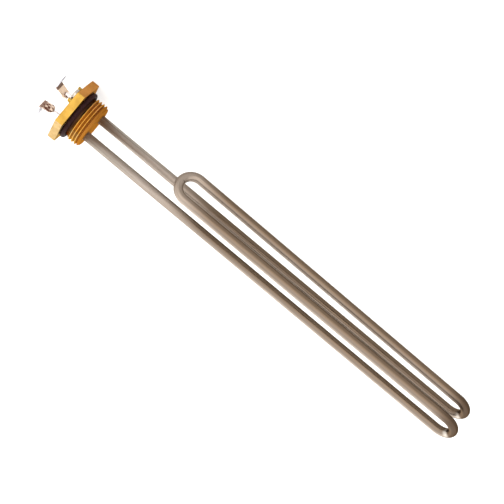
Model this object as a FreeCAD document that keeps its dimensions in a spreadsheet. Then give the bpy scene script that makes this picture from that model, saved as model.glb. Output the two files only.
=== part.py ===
"""Screw-in water heater element: a brass hexagon plug that carries one folded tubular heater.

The frame stands on the thread's axis, in the plane of the hexagon's underside where the seal bears.
+X runs along the thread into the tank, +Y points at the earth screw and +Z is up. All sizes are in mm.
"""
import FreeCAD, Part
import os
import re
import Sketcher

# Driving sizes: name, value and what it measures.
SIZES = [
    ("hex_across_flats", 41.0, "spanner size of the hexagon"),
    ("hex_height", 5.9, "thickness of the hexagon"),
    ("edge_break", 0.35, "chamfer round both faces of the hexagon"),
    ("neck_radius", 15.0, "plain neck under the hexagon, where the seal sits"),
    ("neck_length", 4.5, "length of the neck"),
    ("thread_radius", 16.62, "crest radius of the parallel pipe thread"),
    ("thread_length", 10.0, "neck's end to the plug's end"),
    ("thread_runout", 0.8, "length of the cone that leads from the neck to the crests"),
    ("thread_chamfer", 1.6, "lead chamfer at the plug's end"),
    ("neck_wall", 1.1, "brass between the neck and the terminal recess"),
    ("recess_depth", 12.9, "hexagon's outer face to the recess floor"),
    ("floor_line_radius", 5.8, "fine turned line round the middle of the recess floor"),
    ("floor_line_width", 0.4, "width of that line"),
    ("floor_line_depth", 0.2, "depth of that line"),
    ("rib_pitch", 10.9, "distance between the two ribs beside the earth screw"),
    ("rib_width", 1.4, "thickness of a rib"),
    ("rib_height", 2.4, "height of a rib over the hexagon"),
    ("rib_reach_in", 4.2, "earth screw's axis to a rib's inner end"),
    ("rib_reach_out", 1.0, "earth screw's axis to a rib's outer end"),
    ("rib_ramp", 2.2, "length over which a rib rises"),
    ("seal_section", 3.5, "thickness of the seal ring"),
    ("screw_inset", 4.67, "corner of the hexagon to the earth screw's axis"),
    ("screw_radius", 2.0, "thread radius of the earth screw"),
    ("screw_length", 3.8, "length of the earth screw under its head"),
    ("screw_head_radius", 3.95, "head of the earth screw"),
    ("screw_head_height", 2.1, "height of that head"),
    ("screw_head_round", 0.9, "rounding of that head"),
    ("cross_length", 4.5, "span of the cross recess"),
    ("cross_width", 1.0, "width of the cross recess"),
    ("cross_depth", 1.2, "depth of the cross recess"),
    ("screw_play", 0.02, "play between the earth screw and its hole"),
    ("screw_hole_spare", 0.5, "hole left below the earth screw"),
    ("tube_radius", 3.25, "outside of the heater's tube"),
    ("tube_wall", 0.5, "wall of the tube"),
    ("tube_stand", 2.5, "tube end over the recess floor"),
    ("tube_play", 0.03, "play of a tube in the plug's floor"),
    ("leg_pitch", 16.6, "distance between the two legs"),
    ("run_depth", 19.0, "distance from the legs to the two inner runs"),
    ("bend_b_x", 315.75, "centre of the bend at leg b"),
    ("bend_a_x", 314.75, "centre of the bend at leg a"),
    ("loop_x", 92.4, "centre of the loop near the plug"),
    ("run_angle", 0.589, "lean of the inner run at leg a, in degrees"),
    ("braze_radius", 4.5, "foot of the brazing round a tube"),
    ("braze_height", 1.1, "height of the brazing"),
    ("braze_lip", 0.4, "thickness of the brazing at its top"),
    ("seal_plug_length", 6.0, "resin plug inside a tube's end"),
    ("bead_radius", 3.65, "insulating bead on a tube's end"),
    ("bead_length", 4.0, "length of the bead"),
    ("bead_round", 0.6, "chamfer at the bead's top"),
    ("bead_play", 0.08, "play between the bead and its pin"),
    ("pin_radius", 1.35, "terminal pin"),
    ("pin_inside", 45.0, "terminal pin inside its tube"),
    ("pin_angle_a", 10.0, "lean of pin a over its bead, in degrees"),
    ("pin_angle_b", 15.0, "lean of pin b over its bead, in degrees"),
    ("coil_radius", 1.7, "outside of the heating coil"),
    ("tab_width", 6.3, "blade terminal"),
    ("tab_thickness", 0.8, "blade terminal"),
    ("tab_foot", 13.2, "bead to the lower end of a terminal, along the pin"),
    ("tab_foot_round", 2.6, "corner radius of a terminal's lower end"),
    ("lap_length", 2.8, "part of terminal a that follows the pin"),
    ("arm_length_a", 7.9, "sloping part of terminal a"),
    ("arm_angle_a", 31.6, "slope of terminal a, in degrees"),
    ("arm_length_b", 9.4, "upright part of terminal b"),
    ("blade_length", 10.4, "flat blade of a terminal"),
    ("blade_angle", 6.0, "droop of a blade, in degrees"),
    ("blade_corner", 1.2, "chamfer of a blade's corners"),
    ("blade_hole_radius", 1.1, "locking hole in a blade"),
    ("blade_hole_inset", 5.0, "blade's end to that hole"),
    ("tab_bend_radius", 0.5, "inner radius of a terminal's bends"),
]

# Places that several pieces share, worked out from the driving sizes.
FLOOR_X = "(recess_depth - hex_height)"
RECESS_RADIUS = "(neck_radius - neck_wall)"
HEX_CORNER = "(hex_across_flats / 2 / cos(30 deg))"
SCREW_Y = f"({HEX_CORNER} - screw_inset)"
END_X = "(neck_length + thread_length)"
TUBE_END_X = f"({FLOOR_X} - tube_stand)"
BEAD_TOP_X = f"({TUBE_END_X} - bead_length)"
PIN_INNER_X = f"({TUBE_END_X} + pin_inside)"
TUBE_BORE = "(tube_radius - tube_wall)"
BEND_RADIUS = "(run_depth / 2)"
LEAN = "(run_angle * 1 deg)"
LOOP_RADIUS = (
    f"((leg_pitch + (bend_a_x + {BEND_RADIUS} - loop_x) * tan({LEAN})) / (1 + 1 / cos({LEAN})))"
)
PIN_REACH = "(tab_foot + lap_length - tab_bend_radius)"
PIN_LEAN = {"a": "(pin_angle_a * 1 deg)", "b": "(pin_angle_b * 1 deg)"}
LEG_Z = {"a": "(-leg_pitch / 2)", "b": "(leg_pitch / 2)"}

doc = FreeCAD.newDocument("WaterHeaterElement")
sheet = doc.addObject("Spreadsheet::Sheet", "Sizes")


def fill_sheet():
    """Write the driving sizes to the sheet, one row each, with the name as alias."""
    for row, (name, size, meaning) in enumerate(SIZES, start=1):
        sheet.set(f"A{row}", name)
        sheet.set(f"B{row}", str(size))
        sheet.set(f"C{row}", meaning)
        sheet.setAlias(f"B{row}", name)
    doc.recompute()


def bound(formula):
    """Give the sheet's name to each size that a formula uses."""
    names = {name for name, _, _ in SIZES}
    return re.sub(r"[a-z_]+\w*", lambda m: f"Sizes.{m[0]}" if m[0] in names else m[0], formula)


def number(formula):
    """Work out a formula now, for the first position of a sketch's points."""
    found = sheet.evalExpression(bound(formula))
    return float(getattr(found, "Value", found))


def new_body(label):
    """Start a body for one sub-part."""
    body = doc.addObject("PartDesign::Body", label)
    body.Label = label
    return body


def origin_feature(body, role):
    """Find a plane or an axis of a body's own origin."""
    return next(f for f in body.Origin.OriginFeatures if f.Role == role)


def new_sketch(body, name, role, offset="0"):
    """Put a sketch on an origin plane, moved along the plane's normal."""
    sketch = body.newObject("Sketcher::SketchObject", name)
    sketch.AttachmentSupport = [(origin_feature(body, role), "")]
    sketch.MapMode = "FlatFace"
    sketch.setExpression("AttachmentOffset.Base.z", bound(offset))
    return sketch


def tie(sketch, constraint, formula):
    """Add a constraint and bind its value to a formula."""
    index = sketch.addConstraint(constraint)
    sketch.setExpression(f"Constraints[{index}]", bound(formula))


def tie_point(sketch, line, end, across, up):
    """Place one end of a line by its distances from the sketch's origin."""
    tie(sketch, Sketcher.Constraint("DistanceX", -1, 1, line, end, number(across)), across)
    tie(sketch, Sketcher.Constraint("DistanceY", -1, 1, line, end, number(up)), up)


def draw_chain(sketch, points):
    """Draw a closed chain of lines through points that are numbers."""
    count = len(points)
    for i, (across, up) in enumerate(points):
        ahead = points[(i + 1) % count]
        start = FreeCAD.Vector(across, up, 0)
        sketch.addGeometry(Part.LineSegment(start, FreeCAD.Vector(ahead[0], ahead[1], 0)), False)
    for i in range(count):
        sketch.addConstraint(Sketcher.Constraint("Coincident", i, 2, (i + 1) % count, 1))


def draw_profile(sketch, corners):
    """Draw a closed outline whose corners are pairs of formulas."""
    draw_chain(sketch, [(number(across), number(up)) for across, up in corners])
    for i, (across, up) in enumerate(corners):
        tie_point(sketch, i, 1, across, up)


def draw_circle(sketch, across, up, radius):
    """Draw a circle whose centre and radius are formulas."""
    centre = FreeCAD.Vector(number(across), number(up), 0)
    circle = sketch.addGeometry(
        Part.Circle(centre, FreeCAD.Vector(0, 0, 1), number(radius)), False
    )
    tie_point(sketch, circle, 3, across, up)
    tie(sketch, Sketcher.Constraint("Radius", circle, number(radius)), radius)


def add_feature(body, kind, name, sketch, **settings):
    """Add a sketch-based feature: formulas are bound, other settings are set as they are."""
    feature = body.newObject(f"PartDesign::{kind}", name)
    feature.Profile = sketch
    for key, setting in settings.items():
        if isinstance(setting, str):
            feature.setExpression(key, bound(setting))
        else:
            setattr(feature, key, setting)
    sketch.Visibility = False
    doc.recompute()
    return feature


def cut_feature(body, kind, name, sketch, **settings):
    """Add a cutting feature and make sure that it took material away."""
    before = body.Shape.Volume
    feature = add_feature(body, kind, name, sketch, **settings)
    if body.Shape.Volume >= before - 1e-6:
        raise RuntimeError(f"{body.Label}: {name} cuts nothing")
    return feature


def dress_edges(body, kind, name, size, wanted, size_key):
    """Fillet or chamfer the edges of the body's last feature that a test picks."""
    tip = body.Tip
    names = [f"Edge{i}" for i, edge in enumerate(tip.Shape.Edges, start=1) if wanted(edge)]
    feature = body.newObject(f"PartDesign::{kind}", name)
    feature.Base = (tip, names)
    feature.setExpression(size_key, bound(size))
    doc.recompute()
    return feature


def edge_span(edge):
    """Length of an edge's box along X, Y and Z."""
    box = edge.BoundBox
    return box.XLength, box.YLength, box.ZLength


def revolve_about_leg(label, side, corners):
    """Make a round piece about a leg's axis from an outline of (x, radius) corners."""
    body = new_body(label)
    sketch = new_sketch(body, f"{label}_outline", "XY_Plane", LEG_Z[side])
    draw_profile(sketch, corners)
    add_feature(body, "Revolution", f"{label}_turn", sketch, ReferenceAxis=(sketch, ["H_Axis"]))
    return body


def cylinder(name, radius, length, place):
    """Add a cylinder, bound to formulas."""
    part = doc.addObject("Part::Cylinder", name)
    part.setExpression("Radius", bound(radius))
    part.setExpression("Height", bound(length))
    part.setExpression("Placement", bound(place))
    return part


def ring_piece(name, ring_radius, section_radius, sweep, place):
    """Add a ring or a stretch of one, bound to formulas."""
    part = doc.addObject("Part::Torus", name)
    part.setExpression("Radius1", bound(ring_radius))
    part.setExpression("Radius2", bound(section_radius))
    part.setExpression("Angle3", bound(sweep))
    part.setExpression("Placement", bound(place))
    return part


def placed(x, y, z, yaw="0", pitch="0", roll="0"):
    """Formula of a placement."""
    return f"placement(vector({x}; {y}; {z}); rotation({yaw}; {pitch}; {roll}))"


def fuse(label, parts):
    """Join solids that touch or overlap into one."""
    joined = doc.addObject("Part::MultiFuse", label)
    joined.Shapes = parts
    joined.Refine = True
    return joined


def cut(label, base, tool):
    """Take one solid out of another."""
    rest = doc.addObject("Part::Cut", label)
    rest.Base = base
    rest.Tool = tool
    rest.Label = label
    return rest


def make_route(name, radius, start_x):
    """Solid rod along the heater's whole route: leg b, bend, run, loop, leaning run, bend, leg a."""
    lean_run_x = f"(loop_x + {LOOP_RADIUS} * sin({LEAN}))"
    lean_run_z = f"(leg_pitch / 2 - {LOOP_RADIUS} * (1 + cos({LEAN})))"
    lean_run_length = (
        f"((bend_a_x + {BEND_RADIUS} - {lean_run_x}) / cos({LEAN}) - {BEND_RADIUS})"
    )
    bend_a_top_x = f"({lean_run_x} + {lean_run_length} * cos({LEAN}))"
    bend_a_top_z = f"({lean_run_z} + {lean_run_length} * sin({LEAN}))"
    pieces = [
        cylinder(
            f"{name}_leg_b", radius, f"bend_b_x - {start_x}",
            placed(start_x, "0", LEG_Z["b"], pitch="90"),
        ),
        ring_piece(
            f"{name}_bend_b", BEND_RADIUS, radius, "180",
            placed("bend_b_x", BEND_RADIUS, LEG_Z["b"], yaw="-90"),
        ),
        cylinder(
            f"{name}_run_b", radius, "bend_b_x - loop_x",
            placed("loop_x", "run_depth", LEG_Z["b"], pitch="90"),
        ),
        ring_piece(
            f"{name}_loop", LOOP_RADIUS, radius, "180 + run_angle",
            placed("loop_x", "run_depth", f"leg_pitch / 2 - {LOOP_RADIUS}", pitch="-90", roll="90"),
        ),
        cylinder(
            f"{name}_run_a", radius, lean_run_length,
            placed(lean_run_x, "run_depth", lean_run_z, pitch="90 - run_angle"),
        ),
        ring_piece(
            f"{name}_bend_a_top", BEND_RADIUS, radius, "90",
            placed(bend_a_top_x, BEND_RADIUS, bend_a_top_z, yaw="90", roll="180 - run_angle"),
        ),
        ring_piece(
            f"{name}_bend_a_foot", BEND_RADIUS, radius, "90",
            placed("bend_a_x", BEND_RADIUS, LEG_Z["a"], roll="180"),
        ),
        cylinder(
            f"{name}_leg_a", radius, f"bend_a_x - {start_x}",
            placed(start_x, "0", LEG_Z["a"], pitch="90"),
        ),
    ]
    return fuse(name, pieces)


def make_brass_plug():
    """Hexagon, seal neck, thread, recess with its tube holes, ribs and earth screw hole."""
    body = new_body("brass_plug")

    hexagon = new_sketch(body, "hexagon", "YZ_Plane")
    turns = range(0, 360, 60)
    draw_profile(
        hexagon, [(f"{HEX_CORNER} * cos({a} deg)", f"{HEX_CORNER} * sin({a} deg)") for a in turns]
    )
    add_feature(body, "Pad", "hexagon_pad", hexagon, Length="hex_height", Reversed=True)
    dress_edges(
        body, "Chamfer", "hexagon_edges", "edge_break", lambda edge: edge_span(edge)[0] < 0.01, "Size"
    )

    spigot = new_sketch(body, "spigot", "XY_Plane")
    draw_profile(
        spigot,
        [
            ("-hex_height / 2", "0"),
            ("-hex_height / 2", "neck_radius"),
            ("neck_length", "neck_radius"),
            ("neck_length + thread_runout", "thread_radius"),
            (f"{END_X} - thread_chamfer", "thread_radius"),
            (END_X, "thread_radius - thread_chamfer"),
            (END_X, "0"),
        ],
    )
    add_feature(body, "Revolution", "spigot_turn", spigot, ReferenceAxis=(spigot, ["H_Axis"]))

    recess = new_sketch(body, "recess", "XY_Plane")
    draw_profile(
        recess,
        [
            ("-hex_height - rib_height", "0"),
            ("-hex_height - rib_height", RECESS_RADIUS),
            (FLOOR_X, RECESS_RADIUS),
            (FLOOR_X, "floor_line_radius + floor_line_width"),
            (f"{FLOOR_X} + floor_line_depth", "floor_line_radius + floor_line_width"),
            (f"{FLOOR_X} + floor_line_depth", "floor_line_radius"),
            (FLOOR_X, "floor_line_radius"),
            (FLOOR_X, "0"),
        ],
    )
    cut_feature(body, "Groove", "recess_groove", recess, ReferenceAxis=(recess, ["H_Axis"]))

    tube_holes = new_sketch(body, "tube_holes", "YZ_Plane", END_X)
    for side in ("a", "b"):
        draw_circle(tube_holes, "0", LEG_Z[side], "tube_radius + tube_play")
    cut_feature(body, "Pocket", "tube_hole_pocket", tube_holes, Length=f"{END_X} - {TUBE_END_X}")

    rib = new_sketch(body, "rib", "XY_Plane", "rib_pitch / 2 - rib_width / 2")
    rib_start = f"({SCREW_Y} - rib_reach_in)"
    rib_end = f"({SCREW_Y} + rib_reach_out)"
    draw_profile(
        rib,
        [
            ("-hex_height + edge_break", rib_start),
            ("-hex_height", rib_start),
            ("-hex_height - rib_height", f"{rib_start} + rib_ramp"),
            ("-hex_height - rib_height", rib_end),
            ("-hex_height + edge_break", rib_end),
        ],
    )
    rib_pad = add_feature(body, "Pad", "rib_pad", rib, Length="rib_width")
    rib_pair = body.newObject("PartDesign::Mirrored", "rib_pair")
    rib_pair.Originals = [rib_pad]
    rib_pair.MirrorPlane = (origin_feature(body, "XY_Plane"), [""])
    body.Tip = rib_pair
    doc.recompute()

    screw_hole = new_sketch(body, "screw_hole", "YZ_Plane", "-hex_height")
    draw_circle(screw_hole, SCREW_Y, "0", "screw_radius + screw_play")
    cut_feature(
        body, "Pocket", "screw_hole_pocket", screw_hole,
        Length="screw_length + screw_hole_spare", Reversed=True,
    )
    return body


def make_o_ring_seal():
    """Seal ring on the neck, against the hexagon."""
    ring = ring_piece(
        "o_ring_seal", "neck_radius + seal_section / 2", "seal_section / 2", "360",
        placed("seal_section / 2", "0", "0", pitch="90"),
    )
    ring.Label = "o_ring_seal"
    return ring


def make_earth_screw():
    """Pan head screw with a cross recess, driven into the hexagon's face."""
    body = new_body("earth_screw")

    shank = new_sketch(body, "shank", "YZ_Plane", "-hex_height")
    draw_circle(shank, SCREW_Y, "0", "screw_radius")
    add_feature(body, "Pad", "shank_pad", shank, Length="screw_length")

    head = new_sketch(body, "head", "YZ_Plane", "-hex_height")
    draw_circle(head, SCREW_Y, "0", "screw_head_radius")
    add_feature(body, "Pad", "head_pad", head, Length="screw_head_height", Reversed=True)
    top_x = number("-hex_height - screw_head_height")
    dress_edges(
        body, "Fillet", "head_round", "screw_head_round",
        lambda edge: abs(edge.BoundBox.XMin - top_x) < 0.01 and edge_span(edge)[0] < 0.01, "Radius",
    )

    cross = new_sketch(body, "cross", "YZ_Plane", "-hex_height - screw_head_height")
    far = "cross_length / 2"
    near = "cross_width / 2"
    arm_corners = [
        (far, near), (near, near), (near, far), (f"-{near}", far), (f"-{near}", near), (f"-{far}", near),
        (f"-{far}", f"-{near}"), (f"-{near}", f"-{near}"), (f"-{near}", f"-{far}"),
        (near, f"-{far}"), (near, f"-{near}"), (far, f"-{near}"),
    ]
    draw_profile(cross, [(f"{SCREW_Y} + {across}", up) for across, up in arm_corners])
    cut_feature(body, "Pocket", "cross_pocket", cross, Length="cross_depth", Reversed=True)
    return body


def make_sheath_tube():
    """Folded tube, open at both ends in the recess."""
    outside = make_route("sheath_outside", "tube_radius", TUBE_END_X)
    bore = make_route("sheath_bore", TUBE_BORE, TUBE_END_X)
    return cut("sheath_tube", outside, bore)


def make_heating_coil():
    """Closed envelope of the resistance coil, from one pin's inner end to the other's."""
    coil = make_route("heating_coil", "coil_radius", PIN_INNER_X)
    coil.Label = "heating_coil"
    return coil


def make_cold_pin(side):
    """Terminal pin: straight in its tube, leaning over its bead."""
    label = f"cold_pin_{side}"
    inside = cylinder(
        f"{label}_inside", "pin_radius", f"{PIN_INNER_X} - {BEAD_TOP_X}",
        placed(BEAD_TOP_X, "0", LEG_Z[side], pitch="90"),
    )
    elbow = doc.addObject("Part::Sphere", f"{label}_elbow")
    elbow.setExpression("Radius", bound("pin_radius"))
    elbow.setExpression("Placement", bound(placed(BEAD_TOP_X, "0", LEG_Z[side])))
    outside = cylinder(
        f"{label}_outside", "pin_radius", PIN_REACH,
        placed(BEAD_TOP_X, "0", LEG_Z[side], yaw=f"pin_angle_{side}", pitch="-90"),
    )
    pin = fuse(label, [inside, elbow, outside])
    pin.Label = label
    return pin


def make_magnesia_fill(coil, pins):
    """Packed powder between the tube, the coil and the pins."""
    core = make_route("fill_core", TUBE_BORE, f"({TUBE_END_X} + seal_plug_length)")
    held = fuse("fill_hollow", [coil, *pins])
    return cut("magnesia_fill", core, held)


def make_end_seal(side):
    """Resin plug in a tube's end, round the pin."""
    return revolve_about_leg(
        f"end_seal_{side}",
        side,
        [
            (TUBE_END_X, "pin_radius"),
            (TUBE_END_X, TUBE_BORE),
            (f"{TUBE_END_X} + seal_plug_length", TUBE_BORE),
            (f"{TUBE_END_X} + seal_plug_length", "pin_radius"),
        ],
    )


def make_ceramic_bead(side):
    """Insulating bead that sits on a tube's end."""
    return revolve_about_leg(
        f"ceramic_bead_{side}",
        side,
        [
            (TUBE_END_X, "pin_radius + bead_play"),
            (TUBE_END_X, "bead_radius"),
            (f"{BEAD_TOP_X} + bead_round", "bead_radius"),
            (BEAD_TOP_X, "bead_radius - bead_round"),
            (BEAD_TOP_X, "pin_radius + bead_play"),
        ],
    )


def make_braze_ring(side):
    """Brazing between a tube and the recess floor."""
    return revolve_about_leg(
        f"braze_ring_{side}",
        side,
        [
            (FLOOR_X, "tube_radius"),
            (FLOOR_X, "braze_radius"),
            (f"{FLOOR_X} - braze_height", "tube_radius + braze_lip"),
            (f"{FLOOR_X} - braze_height", "tube_radius"),
        ],
    )


def draw_strip(sketch, inner):
    """Draw a bent strip: its inner side runs through formula points, its outer side is parallel."""
    last = len(inner) - 1
    run = [FreeCAD.Vector(number(across), number(up), 0) for across, up in inner]
    thickness = number("tab_thickness")
    blade = (run[last] - run[last - 1]).normalize()
    away = run[last - 1] - run[last - 2]
    outward = (away - blade * away.dot(blade)).normalize()
    turn = 1 if blade.cross(outward).z > 0 else -1

    def normal(i):
        along = (run[i + 1] - run[i]).normalize()
        return FreeCAD.Vector(-along.y, along.x, 0) * turn

    outer = [run[0] + normal(0) * thickness]
    for i in range(1, last):
        mitre = normal(i - 1) + normal(i)
        outer.append(run[i] + mitre * (2 * thickness / mitre.dot(mitre)))
    outer.append(run[last] + normal(last - 1) * thickness)
    draw_chain(sketch, [(p.x, p.y) for p in run + outer[::-1]])

    for i, (across, up) in enumerate(inner):
        tie_point(sketch, i, 1, across, up)
    far_end = last
    near_end = 2 * last + 1
    sketch.addConstraint(Sketcher.Constraint("Perpendicular", last - 1, far_end))
    sketch.addConstraint(Sketcher.Constraint("Perpendicular", 0, near_end))
    for i in range(last):
        opposite = near_end - 1 - i
        sketch.addConstraint(Sketcher.Constraint("Parallel", i, opposite))
        tie(sketch, Sketcher.Constraint("Distance", opposite, 2, i, thickness), "tab_thickness")


def make_tab(side):
    """Blade terminal: its foot lies along the pin, its blade stands across the plug's axis."""
    away = {"a": -1, "b": 1}[side]
    lean = PIN_LEAN[side]
    droop = "(blade_angle * 1 deg)"
    foot_x = f"({BEAD_TOP_X} - tab_foot * cos({lean}) - {away} * pin_radius * sin({lean}))"
    foot_y = f"(-tab_foot * sin({lean}) + {away} * pin_radius * cos({lean}))"
    inner = [(foot_x, foot_y)]
    if side == "a":
        knee_x = f"({foot_x} - lap_length * cos({lean}))"
        knee_y = f"({foot_y} - lap_length * sin({lean}))"
        inner.append((knee_x, knee_y))
        bend_x = f"({knee_x} - arm_length_a * cos(arm_angle_a * 1 deg))"
        bend_y = f"({knee_y} + arm_length_a * sin(arm_angle_a * 1 deg))"
    else:
        bend_x = f"({foot_x} - arm_length_b * cos({lean}))"
        bend_y = f"({foot_y} - arm_length_b * sin({lean}))"
    inner.append((bend_x, bend_y))
    tip_x = f"({bend_x} + blade_length * sin({droop}))"
    tip_y = f"({bend_y} - {away} * blade_length * cos({droop}))"
    inner.append((tip_x, tip_y))

    body = new_body(f"tab_{side}")
    strip = new_sketch(body, f"strip_{side}", "XY_Plane", f"{LEG_Z[side]} - tab_width / 2")
    draw_strip(strip, inner)
    add_feature(body, "Pad", f"strip_pad_{side}", strip, Length="tab_width")

    hole_x = number(tip_x)
    hole = new_sketch(body, f"blade_hole_{side}", "YZ_Plane", f"{tip_x} + blade_hole_inset")
    draw_circle(hole, f"{tip_y} + {away} * blade_hole_inset", LEG_Z[side], "blade_hole_radius")
    cut_feature(body, "Pocket", f"blade_hole_cut_{side}", hole, Length="2 * blade_hole_inset")

    width = number("tab_width")
    thickness = number("tab_thickness")
    foot = FreeCAD.Vector(number(foot_x), number(foot_y), 0)
    tip = FreeCAD.Vector(hole_x, number(tip_y), 0)

    def is_corner_edge(edge, end):
        """True for the short edges across the strip's thickness at one of its ends."""
        middle = edge.CenterOfMass
        flat = FreeCAD.Vector(middle.x, middle.y, 0)
        return edge_span(edge)[2] < 0.01 and abs(edge.Length - thickness) < 0.01 and (
            (flat - end).Length < thickness
        )

    def bend_distance(edge):
        """Distance of an edge across the strip's width from the nearest inner bend, else None."""
        middle = edge.CenterOfMass
        flat = FreeCAD.Vector(middle.x, middle.y, 0)
        if abs(edge_span(edge)[2] - width) > 0.01:
            return None
        return min((flat - FreeCAD.Vector(number(x), number(y), 0)).Length for x, y in inner[1:-1])

    def is_inner_bend(edge):
        """True for the edges in the hollow of a bend."""
        distance = bend_distance(edge)
        return distance is not None and distance < 0.01

    def is_outer_bend(edge):
        """True for the edges on the back of a bend."""
        distance = bend_distance(edge)
        return distance is not None and thickness / 2 < distance < 2 * thickness

    dress_edges(body, "Fillet", f"bend_hollows_{side}", "tab_bend_radius", is_inner_bend, "Radius")
    dress_edges(
        body, "Fillet", f"bend_backs_{side}", "tab_bend_radius + tab_thickness", is_outer_bend,
        "Radius",
    )
    dress_edges(
        body, "Fillet", f"foot_round_{side}", "tab_foot_round",
        lambda edge: is_corner_edge(edge, foot), "Radius",
    )
    dress_edges(
        body, "Chamfer", f"blade_corners_{side}", "blade_corner",
        lambda edge: is_corner_edge(edge, tip), "Size",
    )
    return body


def main():
    """Build every sub-part, check it and write it."""
    fill_sheet()
    coil = make_heating_coil()
    pins = [make_cold_pin(side) for side in ("a", "b")]
    sub_parts = [
        make_brass_plug(),
        make_o_ring_seal(),
        make_earth_screw(),
        make_sheath_tube(),
        coil,
        *pins,
        make_magnesia_fill(coil, pins),
    ]
    for side in ("a", "b"):
        sub_parts += [
            make_end_seal(side),
            make_ceramic_bead(side),
            make_braze_ring(side),
            make_tab(side),
        ]
    doc.recompute()

    for item in doc.Objects:
        if {"Invalid", "Error"} & set(item.State):
            raise RuntimeError(f"{item.Label} failed: {item.State}")
    os.makedirs("parts", exist_ok=True)
    for item in sub_parts:
        shape = item.Shape
        if shape.isNull() or not shape.isValid() or len(shape.Solids) != 1:
            raise RuntimeError(f"{item.Label} has no single valid solid")
        shape.exportStep(f"parts/{item.Label}.step")


main()
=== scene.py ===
"""Looks of a screw-in water heater element: threaded brass plug, folded tube, terminals and stage.

Lengths are in metres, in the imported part's own frame: its origin lies on the thread's axis under the
hexagon, +X runs along the thread into the tank and +Y points at the earth screw.
"""

import math
from functools import partial

import bmesh
import bpy
from bpy.props import FloatProperty, FloatVectorProperty, IntProperty, PointerProperty
from mathutils import Matrix, Vector
from mathutils.noise import turbulence


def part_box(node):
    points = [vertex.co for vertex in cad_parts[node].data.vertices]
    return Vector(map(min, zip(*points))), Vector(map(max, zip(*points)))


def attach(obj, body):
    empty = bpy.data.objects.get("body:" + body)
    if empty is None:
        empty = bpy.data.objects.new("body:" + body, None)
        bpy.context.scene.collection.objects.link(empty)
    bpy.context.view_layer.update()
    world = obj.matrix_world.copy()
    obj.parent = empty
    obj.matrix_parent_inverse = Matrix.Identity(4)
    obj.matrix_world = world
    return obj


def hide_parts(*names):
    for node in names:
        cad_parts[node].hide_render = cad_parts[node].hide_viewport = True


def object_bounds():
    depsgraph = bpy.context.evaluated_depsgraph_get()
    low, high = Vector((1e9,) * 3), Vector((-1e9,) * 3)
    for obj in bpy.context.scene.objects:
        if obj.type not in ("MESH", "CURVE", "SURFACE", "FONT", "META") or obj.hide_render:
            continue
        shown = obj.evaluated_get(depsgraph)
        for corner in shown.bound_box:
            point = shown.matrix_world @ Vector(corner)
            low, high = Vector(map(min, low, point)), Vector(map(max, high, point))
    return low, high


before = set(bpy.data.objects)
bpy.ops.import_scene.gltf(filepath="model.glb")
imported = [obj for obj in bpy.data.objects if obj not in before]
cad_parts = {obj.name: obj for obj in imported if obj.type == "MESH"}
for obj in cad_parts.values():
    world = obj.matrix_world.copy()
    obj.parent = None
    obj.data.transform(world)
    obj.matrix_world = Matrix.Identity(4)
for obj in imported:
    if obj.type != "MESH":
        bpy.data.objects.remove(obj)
CAD_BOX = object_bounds()

bl_info = {
    "name": "Water Heater Element",
    "version": (1, 0, 0),
    "blender": (4, 5, 0),
    "location": "3D View > Sidebar > Heater",
    "description": "Builds the looks of a screw-in water heater element around its solids",
    "category": "Object",
}

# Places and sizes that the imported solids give.
MM = 0.001
PLUG_LOW, PLUG_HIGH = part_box("brass_plug")
SEAL_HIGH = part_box("o_ring_seal")[1]
TUBE_LOW, TUBE_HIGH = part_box("sheath_tube")
BEAD_LOW, BEAD_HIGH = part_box("ceramic_bead_b")
BRAZE_LOW, BRAZE_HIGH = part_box("braze_ring_b")
SCREW_LOW, SCREW_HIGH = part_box("earth_screw")
TAB_LOW, TAB_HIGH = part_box("tab_b")
COIL_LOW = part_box("heating_coil")[0]
LEG_Z = (BEAD_LOW.z + BEAD_HIGH.z) / 2
RUN_Y = TUBE_HIGH.y + TUBE_LOW.y
FAR_LINE = TUBE_HIGH.x + TUBE_LOW.y
SCREW_Y = (SCREW_LOW.y + SCREW_HIGH.y) / 2
SIDES = {"a": -1, "b": 1}

# Small lengths. ROUNDING is what a stored length may be out by. Points nearer than the next three are
# one point: in a new shape, after a join and on a thread. STRAIGHT is what stays straight between two
# bends, PLAY what a hole has over its tube or screw, OVERSHOOT how far a tool reaches past its cut.
ROUNDING = 0.000001 * MM
SAME_POINT = 0.0001 * MM
SLIVER = 0.0005 * MM
SEAM = 0.001 * MM
STRAIGHT = 0.02 * MM
PLAY = 0.03 * MM
OVERSHOOT = 1.0 * MM
BEND_RADIUS = RUN_Y / 2 - STRAIGHT

# The photograph's width and the camera's focal length in its pixels, and the camera's sensor.
PHOTO_WIDTH = 504
FOCAL_LENGTH = 2000
SENSOR_WIDTH = 36.0

# For the finishes: the direction from which the tube's painted light falls, fine scratches along X, and
# no tint at all.
PAINTED_LIGHT_SIDE = (0.0, -0.5, 0.866)
SCRATCHED = (0.12, 1.0, 1.0)
WHITE = (1.0, 1.0, 1.0)


# Small shapes that several pieces use.


def rounded(corners, steps=6, closed=False):
    """Round the corners of a flat outline; each corner is (across, up, radius)."""
    count = len(corners)
    points = []
    for i, (across, up, radius) in enumerate(corners):
        here = Vector((across, up))
        if radius == 0 or (not closed and i in (0, count - 1)):
            points.append(here)
            continue
        back = (Vector(corners[i - 1][:2]) - here).normalized()
        ahead = (Vector(corners[(i + 1) % count][:2]) - here).normalized()
        half = back.angle(ahead) / 2
        centre = here + (back + ahead).normalized() * (radius / math.sin(half))
        start = here + back * (radius / math.tan(half)) - centre
        end = here + ahead * (radius / math.tan(half)) - centre
        first = math.atan2(start.y, start.x)
        sweep = (math.atan2(end.y, end.x) - first + math.pi) % math.tau - math.pi
        for k in range(steps + 1):
            angle = first + sweep * k / steps
            points.append(centre + radius * Vector((math.cos(angle), math.sin(angle))))
    return points


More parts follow.
